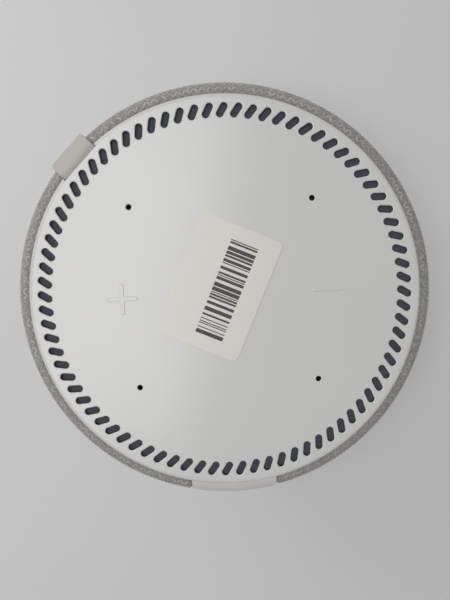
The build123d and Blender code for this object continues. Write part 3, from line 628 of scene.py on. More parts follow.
def fabric_section():
    """The fabric's outside, with its edges tucked into both seams."""
    size = body()
    arcs = side_arcs()
    tuck = size.tuck
    shoulder, shoulder_r, _, lean = arcs[0]
    under, under_r, sink, _ = arcs[-1]
    start = math.acos((size.seam + tuck - shoulder.x) / (shoulder_r - tuck))
    end = -math.acos((size.base_seam + tuck - under.x) / (under_r - tuck))
    upper = (shoulder + (shoulder_r - tuck) * outward(start), tuck, math.pi, start)
    lower = (under + (under_r - tuck) * outward(end), tuck, end, -math.pi)
    arcs[0] = (shoulder, shoulder_r, start, lean)
    arcs[-1] = (under, under_r, sink, end)
    return Section([upper, *arcs, lower], size.tuck_depth)


def window_distance(place):
    """Distance of a point from the edge of the rear window, seen from behind; less than zero inside it."""
    if place.y < 0:
        return math.inf
    size = body()
    across = abs(place.x) - size.window_width / 2 + size.window_corner
    below = size.window_low + size.window_corner - place.z
    outside = math.hypot(max(across, 0), max(below, 0))
    return outside + min(max(across, below), 0) - size.window_corner


# Shader trees

class Tree:
    """Adds and joins the nodes of one shader tree."""

    def __init__(self, tree):
        self.tree = tree

    def add(self, kind, inputs=None, **settings):
        """Adds a node, sets it up and fills its inputs with values or other nodes' outputs."""
        node = self.tree.nodes.new(kind)
        for key, value in settings.items():
            setattr(node, key, value)
        for key, value in (inputs or {}).items():
            self.fill(node.inputs[key], value)
        return node

    def fill(self, socket, value):
        """Joins an output to an input, or sets the input's value."""
        if isinstance(value, bpy.types.NodeSocket):
            self.tree.links.new(value, socket)
        else:
            socket.default_value = value

    def shade(self, shader, **values):
        """Fills a shader's sockets, whose names have underscores here, with values or outputs."""
        for key, value in values.items():
            self.fill(shader.inputs[key.replace("_", " ")], value)

    def maths(self, operation, *values):
        """The result of a calculation on numbers or outputs."""
        return self.add("ShaderNodeMath", dict(enumerate(values)), operation=operation).outputs[0]

    def spread(self, value, low, high):
        """A value from 0 to 1 spread between two others."""
        return self.add("ShaderNodeMapRange", {"Value": value, "To Min": low, "To Max": high}).outputs[0]

    def mix(self, factor, first, second):
        """A mix of two colours."""
        inputs = {MIX_FACTOR: factor, MIX_FIRST: first, MIX_SECOND: second}
        return self.add("ShaderNodeMix", inputs, data_type="RGBA").outputs[MIX_RESULT]

    def noise(self, vector, scale, detail=3.0):
        """Smooth noise from 0 to 1."""
        inputs = {"Vector": vector, "Scale": scale, "Detail": detail}
        return self.add("ShaderNodeTexNoise", inputs).outputs[0]

    def bump(self, height, depth):
        """Normal of a surface that a height from 0 to 1 raises by a depth in millimetres."""
        inputs = {"Height": height, "Distance": depth * MM, "Strength": 1.0}
        return self.add("ShaderNodeBump", inputs).outputs[0]

    def place(self):
        """The surface's own place on the object."""
        return self.add("ShaderNodeTexCoord").outputs["Object"]

    def stretch(self, vector, *scale):
        """A place, stretched along its axes."""
        return self.add("ShaderNodeMapping", {"Vector": vector, "Scale": scale}).outputs[0]

    def axes(self, vector):
        """The three parts of a vector."""
        return self.add("ShaderNodeSeparateXYZ", {0: vector}).outputs

    def group(self, made, **inputs):
        """Places a shared group with its own values and returns its outputs."""
        return self.add("ShaderNodeGroup", inputs, node_tree=made).outputs


def new_group(name, inputs, outputs):
    """A shared group with its named sockets, its tree and its given values."""
    made = bpy.data.node_groups.new(name, "ShaderNodeTree")
    for way, sockets in (("INPUT", inputs), ("OUTPUT", outputs)):
        for socket, kind in sockets.items():
            made.interface.new_socket(name=socket, in_out=way, socket_type="NodeSocket" + kind)
    tree = Tree(made)
    return made, tree, tree.add("NodeGroupInput").outputs


def surface_group(name):
    """A shared group for a surface that changes in colour, roughness and height."""
    inputs = {"Scale": "Float", "Low": "Color", "High": "Color", "Smooth": "Float", "Rough": "Float"}
    return new_group(name, inputs, {"Color": "Color", "Roughness": "Float", "Height": "Float"})


def put_out_surface(tree, given, tone, height):
    """Ends a surface's group: its tone mixes the colours, and its height also sets the roughness."""
    tree.add("NodeGroupOutput", {
        "Color": tree.mix(tone, given["Low"], given["High"]),
        "Roughness": tree.spread(height, given["Smooth"], given["Rough"]),
        "Height": height})


def grain_group():
    """Fine moulded grain, with a slow cloudy change of tone."""
    made, tree, given = surface_group("Moulded Grain")
    place = tree.place()
    fine = tree.noise(place, given["Scale"])
    cloudy = tree.noise(place, 60.0)
    tone = tree.maths("ADD", tree.maths("MULTIPLY", cloudy, 0.65), tree.maths("MULTIPLY", fine, 0.35))
    put_out_surface(tree, given, tone, fine)
    return made


def brushed_group():
    """Fine lines along one direction, as on rolled or turned metal."""
    made, tree, given = surface_group("Brushed Lines")
    lines = tree.noise(tree.stretch(tree.place(), 1.0, 14.0, 1.0), given["Scale"])
    put_out_surface(tree, given, lines, lines)
    return made


def weave_group():
    """Plain weave over a level surface, its colour darker where the threads dip, as painted shade."""
    made, tree, given = new_group(
        "Plain Weave",
        {"Scale": "Float", "Low": "Color", "High": "Color"},
        {"Color": "Color", "Height": "Float"})
    axes = tree.axes(tree.place())
    waves = [tree.maths("SINE", tree.maths("MULTIPLY", axis, given["Scale"])) for axis in axes[:2]]
    over = tree.maths("MULTIPLY_ADD", tree.maths("MULTIPLY", *waves), 0.5, 0.5)
    warp = tree.maths("MULTIPLY", tree.maths("ABSOLUTE", waves[0]), over)
    weft = tree.maths("MULTIPLY", tree.maths("ABSOLUTE", waves[1]), tree.maths("SUBTRACT", 1.0, over))
    height = tree.maths("MAXIMUM", warp, weft)
    # Painted shade: the colour darkens where the threads dip, in step with the height.
    tree.add("NodeGroupOutput", {
        "Color": tree.mix(height, given["Low"], given["High"]),
        "Height": height})
    return made


def yarn_group():
    """Twisted yarn along the knitted stitches, from the knit's own map; its colour is painted shade, darker
    in the gaps between the legs, with a tone of its own from stitch to stitch.
    """
    made, tree, given = new_group(
        "Knitted Yarn",
        {"Low": "Color", "High": "Color"},
        {"Color": "Color", "Height": "Float", "Fuzz": "Float"})
    knit = tree.add("ShaderNodeUVMap", uv_map=KNIT).outputs[0]
    across, along, _ = tree.axes(knit)
    row = tree.maths("FRACT", along)
    leg = tree.maths("ABSOLUTE", tree.maths("SUBTRACT", tree.maths("FRACT", across), 0.5))
    crest = tree.maths("SINE", tree.maths("MULTIPLY", row, math.pi))
    twist = tree.maths("SINE", tree.maths(
        "ADD", tree.maths("MULTIPLY", along, 2 * TURN), tree.maths("MULTIPLY", leg, 7 * TURN)))
    fibre = tree.noise(tree.stretch(knit, 9.0, 26.0, 1.0), 1.0, 4.0)
    patches = tree.noise(tree.stretch(knit, 1.0, 0.9, 1.0), 1.3)
    bulge = tree.maths("MULTIPLY_ADD", tree.maths("SINE", tree.maths("MULTIPLY", leg, TURN)), 0.7, 0.3)
    legs = tree.add("ShaderNodeVectorMath", {0: knit, 1: (2.0, 1.0, 0.0)}, operation="MULTIPLY").outputs[0]
    whole = tree.add("ShaderNodeVectorMath", {0: legs}, operation="FLOOR").outputs[0]
    own = tree.add("ShaderNodeTexWhiteNoise", {"Vector": whole}, noise_dimensions="2D").outputs["Value"]
    # Painted light and shade: the stroke is lighter on each leg's crest and darker towards the gaps; the
    # white noise gives each leg its own tone.
    stroke_and_gap_shade = tree.maths("MULTIPLY", tree.maths("POWER", crest, 1.6), bulge)
    stroke_and_gap_shade = tree.maths("MULTIPLY", stroke_and_gap_shade, tree.maths("MULTIPLY_ADD", own, 1.1, 0.35))
    tone = tree.maths("MULTIPLY_ADD", twist, 0.07, tree.maths("MULTIPLY", stroke_and_gap_shade, 0.6))
    tone = tree.maths("ADD", tone, tree.maths("MULTIPLY_ADD", fibre, 0.6, -0.25))
    tone = tree.maths("ADD", tone, tree.maths("MULTIPLY_ADD", patches, 0.7, -0.2))
    height = tree.maths("MULTIPLY_ADD", twist, 0.18, crest)
    height = tree.maths("MULTIPLY_ADD", fibre, 0.3, height)
    tree.add("NodeGroupOutput", {
        "Color": tree.mix(tone, given["Low"], given["High"]),
        "Height": height,
        "Fuzz": fibre})
    return made


# Finishes

def blank_material(slot):
    """An empty material for a slot, as its tree and its shader."""
    material = bpy.data.materials.new(title(slot))
    material.use_nodes = True
    return Tree(material.node_tree), material.node_tree.nodes["Principled BSDF"]


def surfaced(slot, made, low, high, smooth, rough, scale, depth, **fixed):
    """A material with a shared grain or brushed surface; fixed values are the same all over it."""
    tree, shader = blank_material(slot)
    out = tree.group(made, Scale=scale, Low=low, High=high, Smooth=smooth, Rough=rough)
    normal = tree.bump(out["Height"], depth)
    tree.shade(shader, Base_Color=out["Color"], Roughness=out["Roughness"], Normal=normal, **fixed)


def woven(slot, made, low, high, pitch, depth, roughness, sheen):
    """A thin cloth in plain weave."""
    tree, shader = blank_material(slot)
    out = tree.group(made, Scale=math.pi / (pitch * MM), Low=low, High=high)
    normal = tree.bump(out["Height"], depth)
    tree.shade(shader, Base_Color=out["Color"], Roughness=roughness, Normal=normal, Sheen_Weight=sheen)


def knitted(slot, made, low, high):
    """The sleeve's knit: twisted yarn with loose fibres."""
    tree, shader = blank_material(slot)
    out = tree.group(made, Low=low, High=high)
    tree.shade(
        shader, Base_Color=out["Color"], Roughness=tree.spread(out["Fuzz"], 0.75, 0.95),
        Normal=tree.bump(out["Height"], 0.12),
        Sheen_Weight=0.25, Sheen_Roughness=0.5, Specular_IOR_Level=0.25)


def printed_board(slot):
    """Solder mask with the faint lines of the copper under it."""
    tree, shader = blank_material(slot)
    cells = tree.add(
        "ShaderNodeTexVoronoi", {"Vector": tree.place(), "Scale": 700.0},
        feature="DISTANCE_TO_EDGE", voronoi_dimensions="3D").outputs["Distance"]
    lines = tree.maths("LESS_THAN", cells, 0.08)
    tree.shade(
        shader, Base_Color=tree.mix(lines, shown(16, 62, 40), shown(34, 96, 62)),
        Roughness=tree.spread(lines, 0.38, 0.28), Normal=tree.bump(lines, 0.03))


def foamed(slot):
    """Open-cell foam, its pores darker towards their middles as painted shade."""
    tree, shader = blank_material(slot)
    cells = tree.add("ShaderNodeTexVoronoi", {"Vector": tree.place(), "Scale": 2600.0}).outputs["Distance"]
    # Painted shade: each pore is darker towards its middle, in step with the bump.
    tree.shade(
        shader, Base_Color=tree.mix(cells, shown(30, 30, 31), shown(72, 72, 74)),
        Roughness=0.95, Normal=tree.bump(cells, 0.15))


def wound(slot):
    """Lacquered copper wire, laid turn by turn, with a painted highlight on each turn's crest and painted
    shade in the grooves between turns.
    """
    tree, shader = blank_material(slot)
    height = tree.axes(tree.place())[2]
    turns = tree.maths("ABSOLUTE", tree.maths("SINE", tree.maths("MULTIPLY", height, math.pi / (0.2 * MM))))
    # Painted highlight and shade: each turn is lighter on its crest and darker in the groove beside it.
    tree.shade(
        shader, Base_Color=tree.mix(turns, shown(110, 52, 26), shown(205, 118, 66)),
        Roughness=tree.spread(turns, 0.5, 0.25), Normal=tree.bump(turns, 0.08), Metallic=1.0)


def frosted(slot):
    """Milky plastic that lets light through."""
    tree, shader = blank_material(slot)
    fine = tree.noise(tree.place(), 4000.0)
    tree.shade(
        shader, Base_Color=shown(236, 238, 240), Roughness=tree.spread(fine, 0.45, 0.7),
        Normal=tree.bump(fine, 0.02), Transmission_Weight=0.35)


def inked(slot):
    """Flat black ink, a little uneven, as a label printer leaves it."""
    tree, shader = blank_material(slot)
    patchy = tree.noise(tree.place(), 2600.0)
    tree.shade(
        shader, Base_Color=tree.mix(patchy, tints().ink, shown(74, 72, 71)),
        Roughness=tree.spread(patchy, 0.5, 0.7))


def build_finishes():
    """Makes the ink and the material of every slot."""
    tint = tints()
    grain = grain_group()
    brushed = brushed_group()
    weave = weave_group()
    # The knit's darker colour is painted shade in the gaps between the yarns.
    knitted("knit_fabric", yarn_group(), tint.yarn_gap_shade, tint.yarn)
    # Both cloths take painted shade from the weave: their darker colour fills the dips between the threads.
    woven("mesh_cloth", weave, tint.cloth_gap_shade, tint.cloth, 0.22, 0.05, 0.55, 0.3)
    woven("spider_cloth", weave, shown(120, 84, 40), shown(188, 142, 80), 0.5, 0.12, 0.8, 0.2)
    printed_board("circuit_board")
    foamed("foam")
    wound("coil_wire")
    frosted("clear_plastic")
    inked(INK)
    surfaced("plate_plastic", grain, tint.plate_low, tint.plate, 0.2, 0.26, 7000, 0.003)
    surfaced("panel_plastic", grain, tint.panel_low, tint.panel, 0.38, 0.5, 7000, 0.004)
    surfaced(
        "tag_silicone", grain, shown(182, 181, 174), tint.tag, 0.5, 0.62, 5000, 0.004, Sheen_Weight=0.1)
    surfaced("label_paper", grain, shown(219, 216, 211), tint.paper, 0.3, 0.4, 3500, 0.004)
    surfaced("base_plastic", grain, shown(142, 142, 140), tint.base, 0.5, 0.66, 4500, 0.015)
    surfaced("foot_rubber", grain, shown(86, 86, 86), tint.foot, 0.72, 0.9, 3000, 0.02)
    for slot, low, high, *surface in MOULDED:
        surfaced(slot, grain, shown(*low), shown(*high), *surface)
    for slot, low, high, *roughness in METALS:
        surfaced(
            slot, brushed, shown(*low), shown(*high), *roughness, METAL_SCALE, METAL_DEPTH, Metallic=1.0)


# Touch plate

def slot_loop(offset, height):
    """Outline of one slot in the ring, grown by an offset, as a list of points."""
    size = plate()
    half = (size.slot_length - size.slot_width) / 2
    radius = size.slot_width / 2 + offset
    points = []
    for index in range(SLOT_POINTS):
        turn = (index + 0.5) * TURN / SLOT_POINTS
        end = half if math.cos(turn) > 0 else -half
        points.append(Vector((end + radius * math.cos(turn), radius * math.sin(turn), height)))
    tilt = Matrix.Rotation(size.slot_tilt, 4, "Z")
    turned = Matrix.Rotation(size.slot_start, 4, "Z")
    return [turned @ (tilt @ point + Vector((size.ring, 0, 0))) for point in points]


def sector_loop(height):
    """Border of one slot's share of the ring, with as many points as the slot and in the same order."""
    size = plate()
    half = TURN / size.slots / 2
    steps = SLOT_POINTS // 5
    sides = SLOT_POINTS // 2 - steps
    inner, outer = size.ring_inner, size.skirt
    rim = [(outer, half * (2 * step / steps - 1)) for step in range(1, steps + 1)]
    down = [(outer + (inner - outer) * step / sides, half) for step in range(1, sides + 1)]
    back = [(inner, half * (1 - 2 * step / steps)) for step in range(1, steps + 1)]
    up = [(inner + (outer - inner) * step / sides, -half) for step in range(1, sides + 1)]
    return [polar(radius, size.slot_start + turn, height) for radius, turn in rim + down + back + up]


def make_slot_sector():
    """One slot with its rounded lip and its share of the ring, top and underside."""
    size = plate()
    top = body().height
    low = top - size.ring_thickness
    piece = add_piece(
        "touch_plate", bpy.ops.mesh.primitive_circle_add, vertices=SLOT_POINTS, radius=size.slot_width)
    loops = [sector_loop(top), slot_loop(size.slot_lip * LIP_BORDER, top)]
    for step in range(LIP_STEPS + 1):
        turn = step / LIP_STEPS * math.pi / 2
        drop = size.slot_lip * (1 - math.cos(turn))
        loops.append(slot_loop(size.slot_lip * (1 - math.sin(turn)), top - drop))
    loops += [slot_loop(size.draft, low), sector_loop(low)]
    with editing(piece):
        pick_all()
        mesh = bmesh.from_edit_mesh(piece.data)
        mesh.verts.ensure_lookup_table()
        order = sorted(mesh.verts, key=lambda vertex: math.atan2(vertex.co.y, vertex.co.x) % TURN)
        for vertex, point in zip(order, loops[0]):
            vertex.co = point
        bmesh.update_edit_mesh(piece.data)
        for before, after in zip(loops, loops[1:]):
            moves = list(zip(before, after))
            extrude_edges(piece, lambda place: min(moves, key=lambda move: (move[0] - place).length)[1])
    return piece


def make_slotted_ring():
    """The ring of slots with the rounded rim and the skirt round it, open in the middle."""
    size = plate()
    top = body().height
    low = top - size.ring_thickness
    rim = [(size.radius, top), (size.radius, size.skirt_low), (size.skirt, size.skirt_low), (size.skirt, low)]
    piece = make_slot_sector()
    with editing(piece):
        spin_copies(size.slots)
        merge()
        pick(piece, "edges", edges_at(size.skirt, top))
        for radius, height in rim:
            extrude_edges(piece, at_radius(radius, height))
        pick(piece, "edges", edges_at(size.ring_inner, low))
        extrude_edges(piece, at_radius(size.ring_inner, top - size.thickness))
        merge()
        pick(piece, "edges", edges_at(size.radius, top))
        bpy.ops.mesh.bevel(offset=size.rim, segments=RIM_STEPS)
    return piece


def make_plate_holes():
    """Rims of the four microphone holes, from the plate's face to its underside."""
    size = plate()
    half = size.hole_spacing / 2
    lip = size.hole_lip
    middle = lip * LIP_MIDDLE
    rings = [(size.hole + middle, -middle), (size.hole, -lip), (size.hole + size.draft, -size.thickness)]
    holes = []
    for x, y in ((half, half), (-half, half), (-half, -half), (half, -half)):
        centre = Vector((x, y, body().height))
        hole = add_piece(
            "hole", bpy.ops.mesh.primitive_circle_add, vertices=HOLE_POINTS, radius=size.hole + lip,
            location=centre)
        settle(hole)
        with editing(hole):
            pick_all()
            extrude_rings(hole, centre, rings)
        holes.append(hole)
    return holes


def fill_plate(piece):
    """Closes the plate's face and underside round the microphone holes."""
    top = body().height
    with editing(piece):
        for height in (top, top - plate().thickness):
            pick(piece, "edges", open_edges_at(height))
            bpy.ops.mesh.fill(use_beauty=True)
        face_outwards()


def cut_notch(piece):
    """Cuts the notch that the tag comes out of."""
    size = plate()
    depth = size.radius
    cutter = add_piece("notch", bpy.ops.mesh.primitive_cube_add, size=1)
    cutter.scale = (depth, size.notch_width, 4 * size.thickness)
    cutter.location = polar(size.notch_face + depth / 2, size.notch_turn, body().height - size.thickness)
    cutter.rotation_euler.z = size.notch_turn
    settle(cutter)
    combine(piece, cutter, "DIFFERENCE")


def make_bar(turn):
    """A raised bar with round ends and a rounded top, at the origin."""
    size = plate()
    half = (size.mark_length - size.mark_width) / 2
    piece = add_piece(
        "bar", bpy.ops.mesh.primitive_cylinder_add, vertices=BAR_POINTS, radius=size.mark_width / 2,
        depth=2 * size.mark_height, rotation=(0, 0, TURN / BAR_POINTS / 2))
    settle(piece)
    with editing(piece):
        pick(piece, "verts", lambda vertex: True)
        place_selected(piece, lambda place: place + Vector((math.copysign(half, place.x), 0, 0)))
        pick(piece, "edges", lambda edge: all(vertex.co.z > 0 for vertex in edge.verts))
        bpy.ops.mesh.bevel(offset=size.mark_height * MARK_SOFT, segments=BAR_STEPS)
    piece.rotation_euler.z = turn
    settle(piece)
    return piece


def make_marks():
    """The raised plus and minus."""
    marks = []
    for side, turns in ((1, (0, TURN / 4)), (-1, (0,))):
        mark, *others = [make_bar(turn) for turn in turns]
        for other in others:
            combine(mark, other, "UNION")
        mark.location = (side * plate().mark_reach, 0, body().height)
        settle(mark)
        smooth_but_flats(mark)
        marks.append(mark)
    return marks


def turn_copies(piece, copies):
    """Repeats a closed piece round the axis, with its faces pointing outwards."""
    with editing(piece):
        spin_copies(copies)
        face_outwards()


def make_hooks():
    """Snap arms under the rim, whose nibs hold below the shell's ledge."""
    size = plate()
    root = size.skirt_low + HOOK_ROOT
    nib = size.ledge - NIB_PLAY
    tip = nib - NIB_DEPTH
    arm = size.skirt + size.hook_thickness
    out = arm + size.hook_nib
    corners = [(size.skirt, root), (arm, root), (arm, nib), (out, nib), (out, nib - NIB_LAND),
               (arm, tip), (size.skirt, tip)]
    piece = add_piece(
        "hooks", bpy.ops.mesh.primitive_circle_add, vertices=len(corners), radius=arm, fill_type="NGON")
    for vertex, (radius, height) in zip(piece.data.vertices, corners):
        vertex.co = (radius, -size.hook_width / 2, height)
    with editing(piece):
        pick_all()
        bpy.ops.mesh.extrude_region_move(TRANSFORM_OT_translate={"value": (0, size.hook_width, 0)})
    turn_copies(piece, size.hooks)
    return piece


def make_bosses():
    """Screw bosses under the plate, which carry the touch board."""
    size = plate()
    root = body().height - size.thickness + BOSS_ROOT
    piece = add_piece(
        "bosses", bpy.ops.mesh.primitive_circle_add, vertices=HOLE_POINTS, radius=size.boss,
        location=(size.boss_ring, 0, root))
    settle(piece)
    rings = [(size.boss, size.boss_low), (size.pilot, size.boss_low), (size.pilot, root)]
    with editing(piece):
        pick_all()
        extrude_rings(piece, Vector((size.boss_ring, 0, 0)), rings)
        pick(piece, "edges", lambda edge: edge.is_boundary)
        bpy.ops.mesh.bridge_edge_loops()
    turn_copies(piece, size.bosses)
    return piece


def make_top_plate():
    """Touch plate: ring of slots, rim, skirt, microphone holes, notch, marks, hooks and bosses."""
    piece = make_slotted_ring()
    join(piece, make_plate_holes())
    fill_plate(piece)
    cut_notch(piece)
    smooth_but_flats(piece)
    join(piece, [*make_marks(), make_hooks(), make_bosses()])
    hand_over(piece, "plate_plastic", "top_plate")


def make_acoustic_mesh():
    """Cloth ring behind the slots."""
    low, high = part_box("acoustic_mesh")
    inner = plate().ring_inner + CLOTH_PLAY
    piece = add_piece(
        "slot_cloth", bpy.ops.mesh.primitive_circle_add, vertices=CLOTH_POINTS, radius=inner,
        location=(0, 0, high.z))
    settle(piece)
    with editing(piece):
        pick_all()
        for band in range(1, CLOTH_BANDS + 1):
            extrude_edges(piece, at_radius(inner + (high.x - inner) * band / CLOTH_BANDS, high.z))
        face_outwards()
    if piece.data.polygons[0].normal.z < 0:
        piece.data.flip_normals()
    apply_modifier(piece, "SOLIDIFY", thickness=high.z - low.z, offset=-1)
    hand_over(piece, "mesh_cloth", "acoustic_mesh")


# Label

def place_on_plate(piece):
    """Turns a flat piece to the label's direction and puts it on the plate."""
    size = label()
    piece.rotation_euler.z = size.turn
    piece.location = (size.x, size.y, body().height)
    settle(piece)


def make_label():
    """Paper label with round corners and a soft edge."""
    size = label()
    piece = add_piece("label_sheet", bpy.ops.mesh.primitive_plane_add, size=1)
    piece.scale = (size.length, size.width, 1)
    settle(piece)
    with editing(piece):
        pick_all()
        bpy.ops.mesh.bevel(offset=size.corner, segments=LABEL_STEPS, affect="VERTICES")
        pick_all()
        bpy.ops.mesh.extrude_region_move(TRANSFORM_OT_translate={"value": (0, 0, size.thickness)})
        pick(piece, "edges", lambda edge: all(near(vertex.co.z, size.thickness) for vertex in edge.verts))
        bpy.ops.mesh.bevel(offset=size.thickness * LABEL_SOFT, segments=LABEL_EDGE_STEPS)
        face_outwards()
    smooth_but_flats(piece)
    place_on_plate(piece)
    hand_over(piece, "label_paper", "paper_label")


def draw_spans():
    """Chance widths of the bars and of the gaps after them, until they fill the block."""
    size = label()
    chance = random.Random(BAR_SEED)
    spans = []
    while sum(width + gap for width, gap in spans) < size.bars_length / size.bar_unit:
        spans.append((chance.choice(BAR_WIDTHS), chance.choice(BAR_GAPS)))
    return spans


def make_label_bars():
    """Plain printed bars of chance widths."""
    size = label()
    spans = draw_spans()
    unit = size.bars_length / (sum(width + gap for width, gap in spans) - spans[-1][1])
    bars = []
    place = -size.bars_length / 2
    for width, gap in spans:
        bar = add_piece("label_bars", bpy.ops.mesh.primitive_cube_add, size=1)
        bar.scale = (width * unit, size.bars_height, INK_FILM)
        bar.location = (place + width * unit / 2, size.bars_shift, size.thickness + INK_FILM / 2)
        settle(bar)
        bars.append(bar)
        place += (width + gap) * unit
    piece = bars[0]
    join(piece, bars[1:])
    place_on_plate(piece)
    cover(piece, INK)
    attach(piece, HOUSING)


# Side tag

def tag_section():
    """The tag's outside: out of the seam, over the shoulder and down the side."""
    size = tag()
    out = size.gap + size.thickness
    shoulder, side = side_arcs()[:2]
    top, shoulder_r, _, lean = shoulder
    middle, side_r, _, _ = side
    full = shoulder_r + out
    bend_x = size.face + size.bend
    rise = math.sqrt((full - size.bend) ** 2 - (bend_x - top.x) ** 2)
    bend = Vector((bend_x, top.y + rise))
    start = math.atan2(rise, bend_x - top.x)
    end = math.asin((size.low + size.sunk - middle.y) / (side_r + out))
    return Section([
        (bend, size.bend, math.pi, start),
        (top, full, start, lean),
        (middle, side_r + out, lean, end)], size.sunk)


def tag_place(section, along, turn):
    """A point of the tag: a share of its length from the seam to its tip, and an angle round its section."""
    size = tag()
    left = section.total * (1 - along) ** TAG_CROWDING
    corner = max(size.corner - left, 0)
    tip = max(size.edge - left, 0)
    rounding = size.edge - math.sqrt(size.edge**2 - tip**2)
    half = size.width / 2 - size.corner + math.sqrt(size.corner**2 - corner**2) - rounding
    thick = size.thickness / 2 - rounding
    across = math.copysign(half - size.edge, math.cos(turn)) + size.edge * math.cos(turn)
    over = math.copysign(thick - size.edge, math.sin(turn)) + size.edge * math.sin(turn)
    point, out = section.at(section.total - left)
    point = point + (over - size.thickness / 2) * out
    return Vector((point.x, across, point.y))


def make_tag():
    """Tag with round lower corners and soft edges, wrapped round its section."""
    section = tag_section()
    piece = add_piece(
        "tag_strip", bpy.ops.mesh.primitive_grid_add, x_subdivisions=TAG_ROWS, y_subdivisions=TAG_POINTS,
        size=1)
    for vertex in piece.data.vertices:
        turn = TURN * (vertex.co.y + 0.5 + 0.5 / TAG_POINTS)
        vertex.co = tag_place(section, vertex.co.x + 0.5, turn)
    with editing(piece):
        merge()
        pick(piece, "edges", lambda edge: edge.is_boundary)
        bpy.ops.mesh.edge_face_add()
        face_outwards()
    piece.rotation_euler.z = tag().turn
    settle(piece)
    bpy.ops.object.shade_smooth_by_angle(angle=SMOOTH_ANGLE)
    hand_over(piece, "tag_silicone", "side_tag")


# Fabric sleeve

def stitch(across, along):
    """How high the yarn stands at a place of the knit, from 0 in the gaps to 1 on the legs."""
    leg = abs(across % 1 - 0.5)
    crest = math.sin(math.pi * (along % 1)) ** 0.8
    bulge = 0.15 + 0.85 * math.sin(TURN * leg) + 0.15 * (1 + math.cos(TURN * leg))
    return crest * min(bulge, 1)


def knit_place(section, across, along):
    """Where a place of the knit lies on the body, given in stitches across and along."""
    size = body()
    leg = abs(across % 1 - 0.5)
    row = along - size.climb * (2 * leg - 0.5)
    distance = min(max(row / size.courses, 0), 1) * section.total
    point, out = section.at(distance)
    turn = TURN / 4 + across / size.wales * TURN
    ends = min(distance, section.total - distance) / KNIT_FADE
    depth = size.relief * (1 - stitch(across, along)) * min(ends, 1)
    edge = window_distance(polar(point.x, turn, point.y))
    if edge < size.hem:
        depth += size.hem - math.sqrt(size.hem**2 - (size.hem - max(edge, 0)) ** 2)
    point = point - depth * out
    return polar(point.x, turn, point.y)


def wrap_knit(piece, section):
    """Lays the flat grid round the body, each row following the legs of its stitches, and maps the knit."""
    size = body()
    mesh = piece.data
    knit = [((point.co.x + 0.5) * size.wales, (0.5 - point.co.y) * size.courses) for point in mesh.vertices]
    layer = mesh.uv_layers.active
    layer.name = KNIT
    for loop in mesh.loops:
        layer.data[loop.index].uv = knit[loop.vertex_index]
    for vertex, (across, along) in zip(mesh.vertices, knit):
        vertex.co = knit_place(section, across, along)


def window_planes():
    """Planes that cut the rear window out of the fabric: its sides, its lower edge and its round corners."""
    size = body()
    corner = size.window_corner
    planes = []
    for side in (-1, 1):
        centre = Vector((side * (size.window_width / 2 - corner), 0, size.window_low + corner))
        for step in range(WINDOW_STEPS + 1):
            turn = step / WINDOW_STEPS * math.pi / 2
            out = Vector((side * math.cos(turn), 0, -math.sin(turn)))
            planes.append((centre + corner * out, out))
    return planes


def at_window(edge):
    """True for the fabric's open edge at the rear window."""
    return edge.is_boundary and all(abs(window_distance(end.co)) < WINDOW_EDGE for end in edge.verts)


def turned_in(place):
    """A place of the fabric's edge, moved towards the axis by the hem's depth."""
    return polar(reach(place) - HEM_DEPTH, math.atan2(place.y, place.x), place.z)


def cut_window(piece):
    """Cuts the rear window and turns the fabric's edge in round it."""
    with editing(piece):
        merge()
        for place, out in window_planes():
            pick(piece, "faces", lambda face: abs(window_distance(face.calc_center_median())) < WINDOW_BAND)
            bpy.ops.mesh.bisect(plane_co=place, plane_no=out)
        pick(piece, "faces", lambda face: window_distance(face.calc_center_median()) < 0)
        bpy.ops.mesh.delete(type="FACE")
        pick(piece, "edges", at_window)
        extrude_edges(piece, turned_in)


def sleeve_area(section):
    """Area of the fabric without its stitches' relief."""
    size = body()
    rows = [section.at((step + 0.5) / AREA_STEPS * section.total)[0] for step in range(AREA_STEPS)]
    full = sum(TURN * row.x for row in rows) * section.total / AREA_STEPS
    return full - size.window_width * (size.height - size.window_low)


def make_fabric():
    """Knitted sleeve, stretched over the shell, tucked into its seams and cut out for the rear panel."""
    size = body()
    section = fabric_section()
    piece = add_piece(
        "knit_sleeve", bpy.ops.mesh.primitive_grid_add, x_subdivisions=size.wales * STITCH_POINTS,
        y_subdivisions=size.courses * STITCH_POINTS, size=1, calc_uvs=True)
    wrap_knit(piece, section)
    cut_window(piece)
    front = min(piece.data.polygons, key=lambda face: face.center.y)
    if front.normal.y > 0:
        piece.data.flip_normals()
    for face in piece.data.polygons:
        face.use_smooth = True
    hand_over(piece, "knit_fabric", "fabric_sleeve")
    sleeve_area(section)


# Driver

def surround_outline():
    """Section of the surround, a half roll between two lips, as a closed line."""
    size = driver()
    roll = (size.roll - size.cone) / 2
    middle = Vector((size.cone + roll, size.lip))
    lift = math.asin(size.rubber / (roll + size.rubber))
    steps = [step / ROLL_STEPS for step in range(ROLL_STEPS + 1)]
    over = [middle + (roll + size.rubber) * outward(lift + (math.pi - 2 * lift) * step) for step in steps]
    under = [middle + roll * outward(math.pi * (1 - step)) for step in steps]
    up = Vector((0, size.rubber))
    outer = Vector((size.roll + size.lip_outer, size.lip))
    inner = Vector((size.cone - size.lip_inner, size.lip))
    return [outer, outer + up, *over, inner + up, inner, *under]


def spider_outline():
    """Section of the spider, a waved sheet with level edges, as a closed line."""
    size = driver()
    start = size.spider_inner + size.spider_edge
    pitch = (size.spider_outer - size.spider_edge - start) / size.waves
    line = [Vector((size.spider_inner, size.spider))]
    for step in range(size.waves * WAVE_STEPS + 1):
        waves = step / WAVE_STEPS
        line.append(Vector((start + pitch * waves, size.spider - size.swing * math.sin(math.pi * waves))))
    line.append(Vector((size.spider_outer, size.spider)))
    up = Vector((0, size.spider_cloth))
    return line + [point + up for point in reversed(line)]


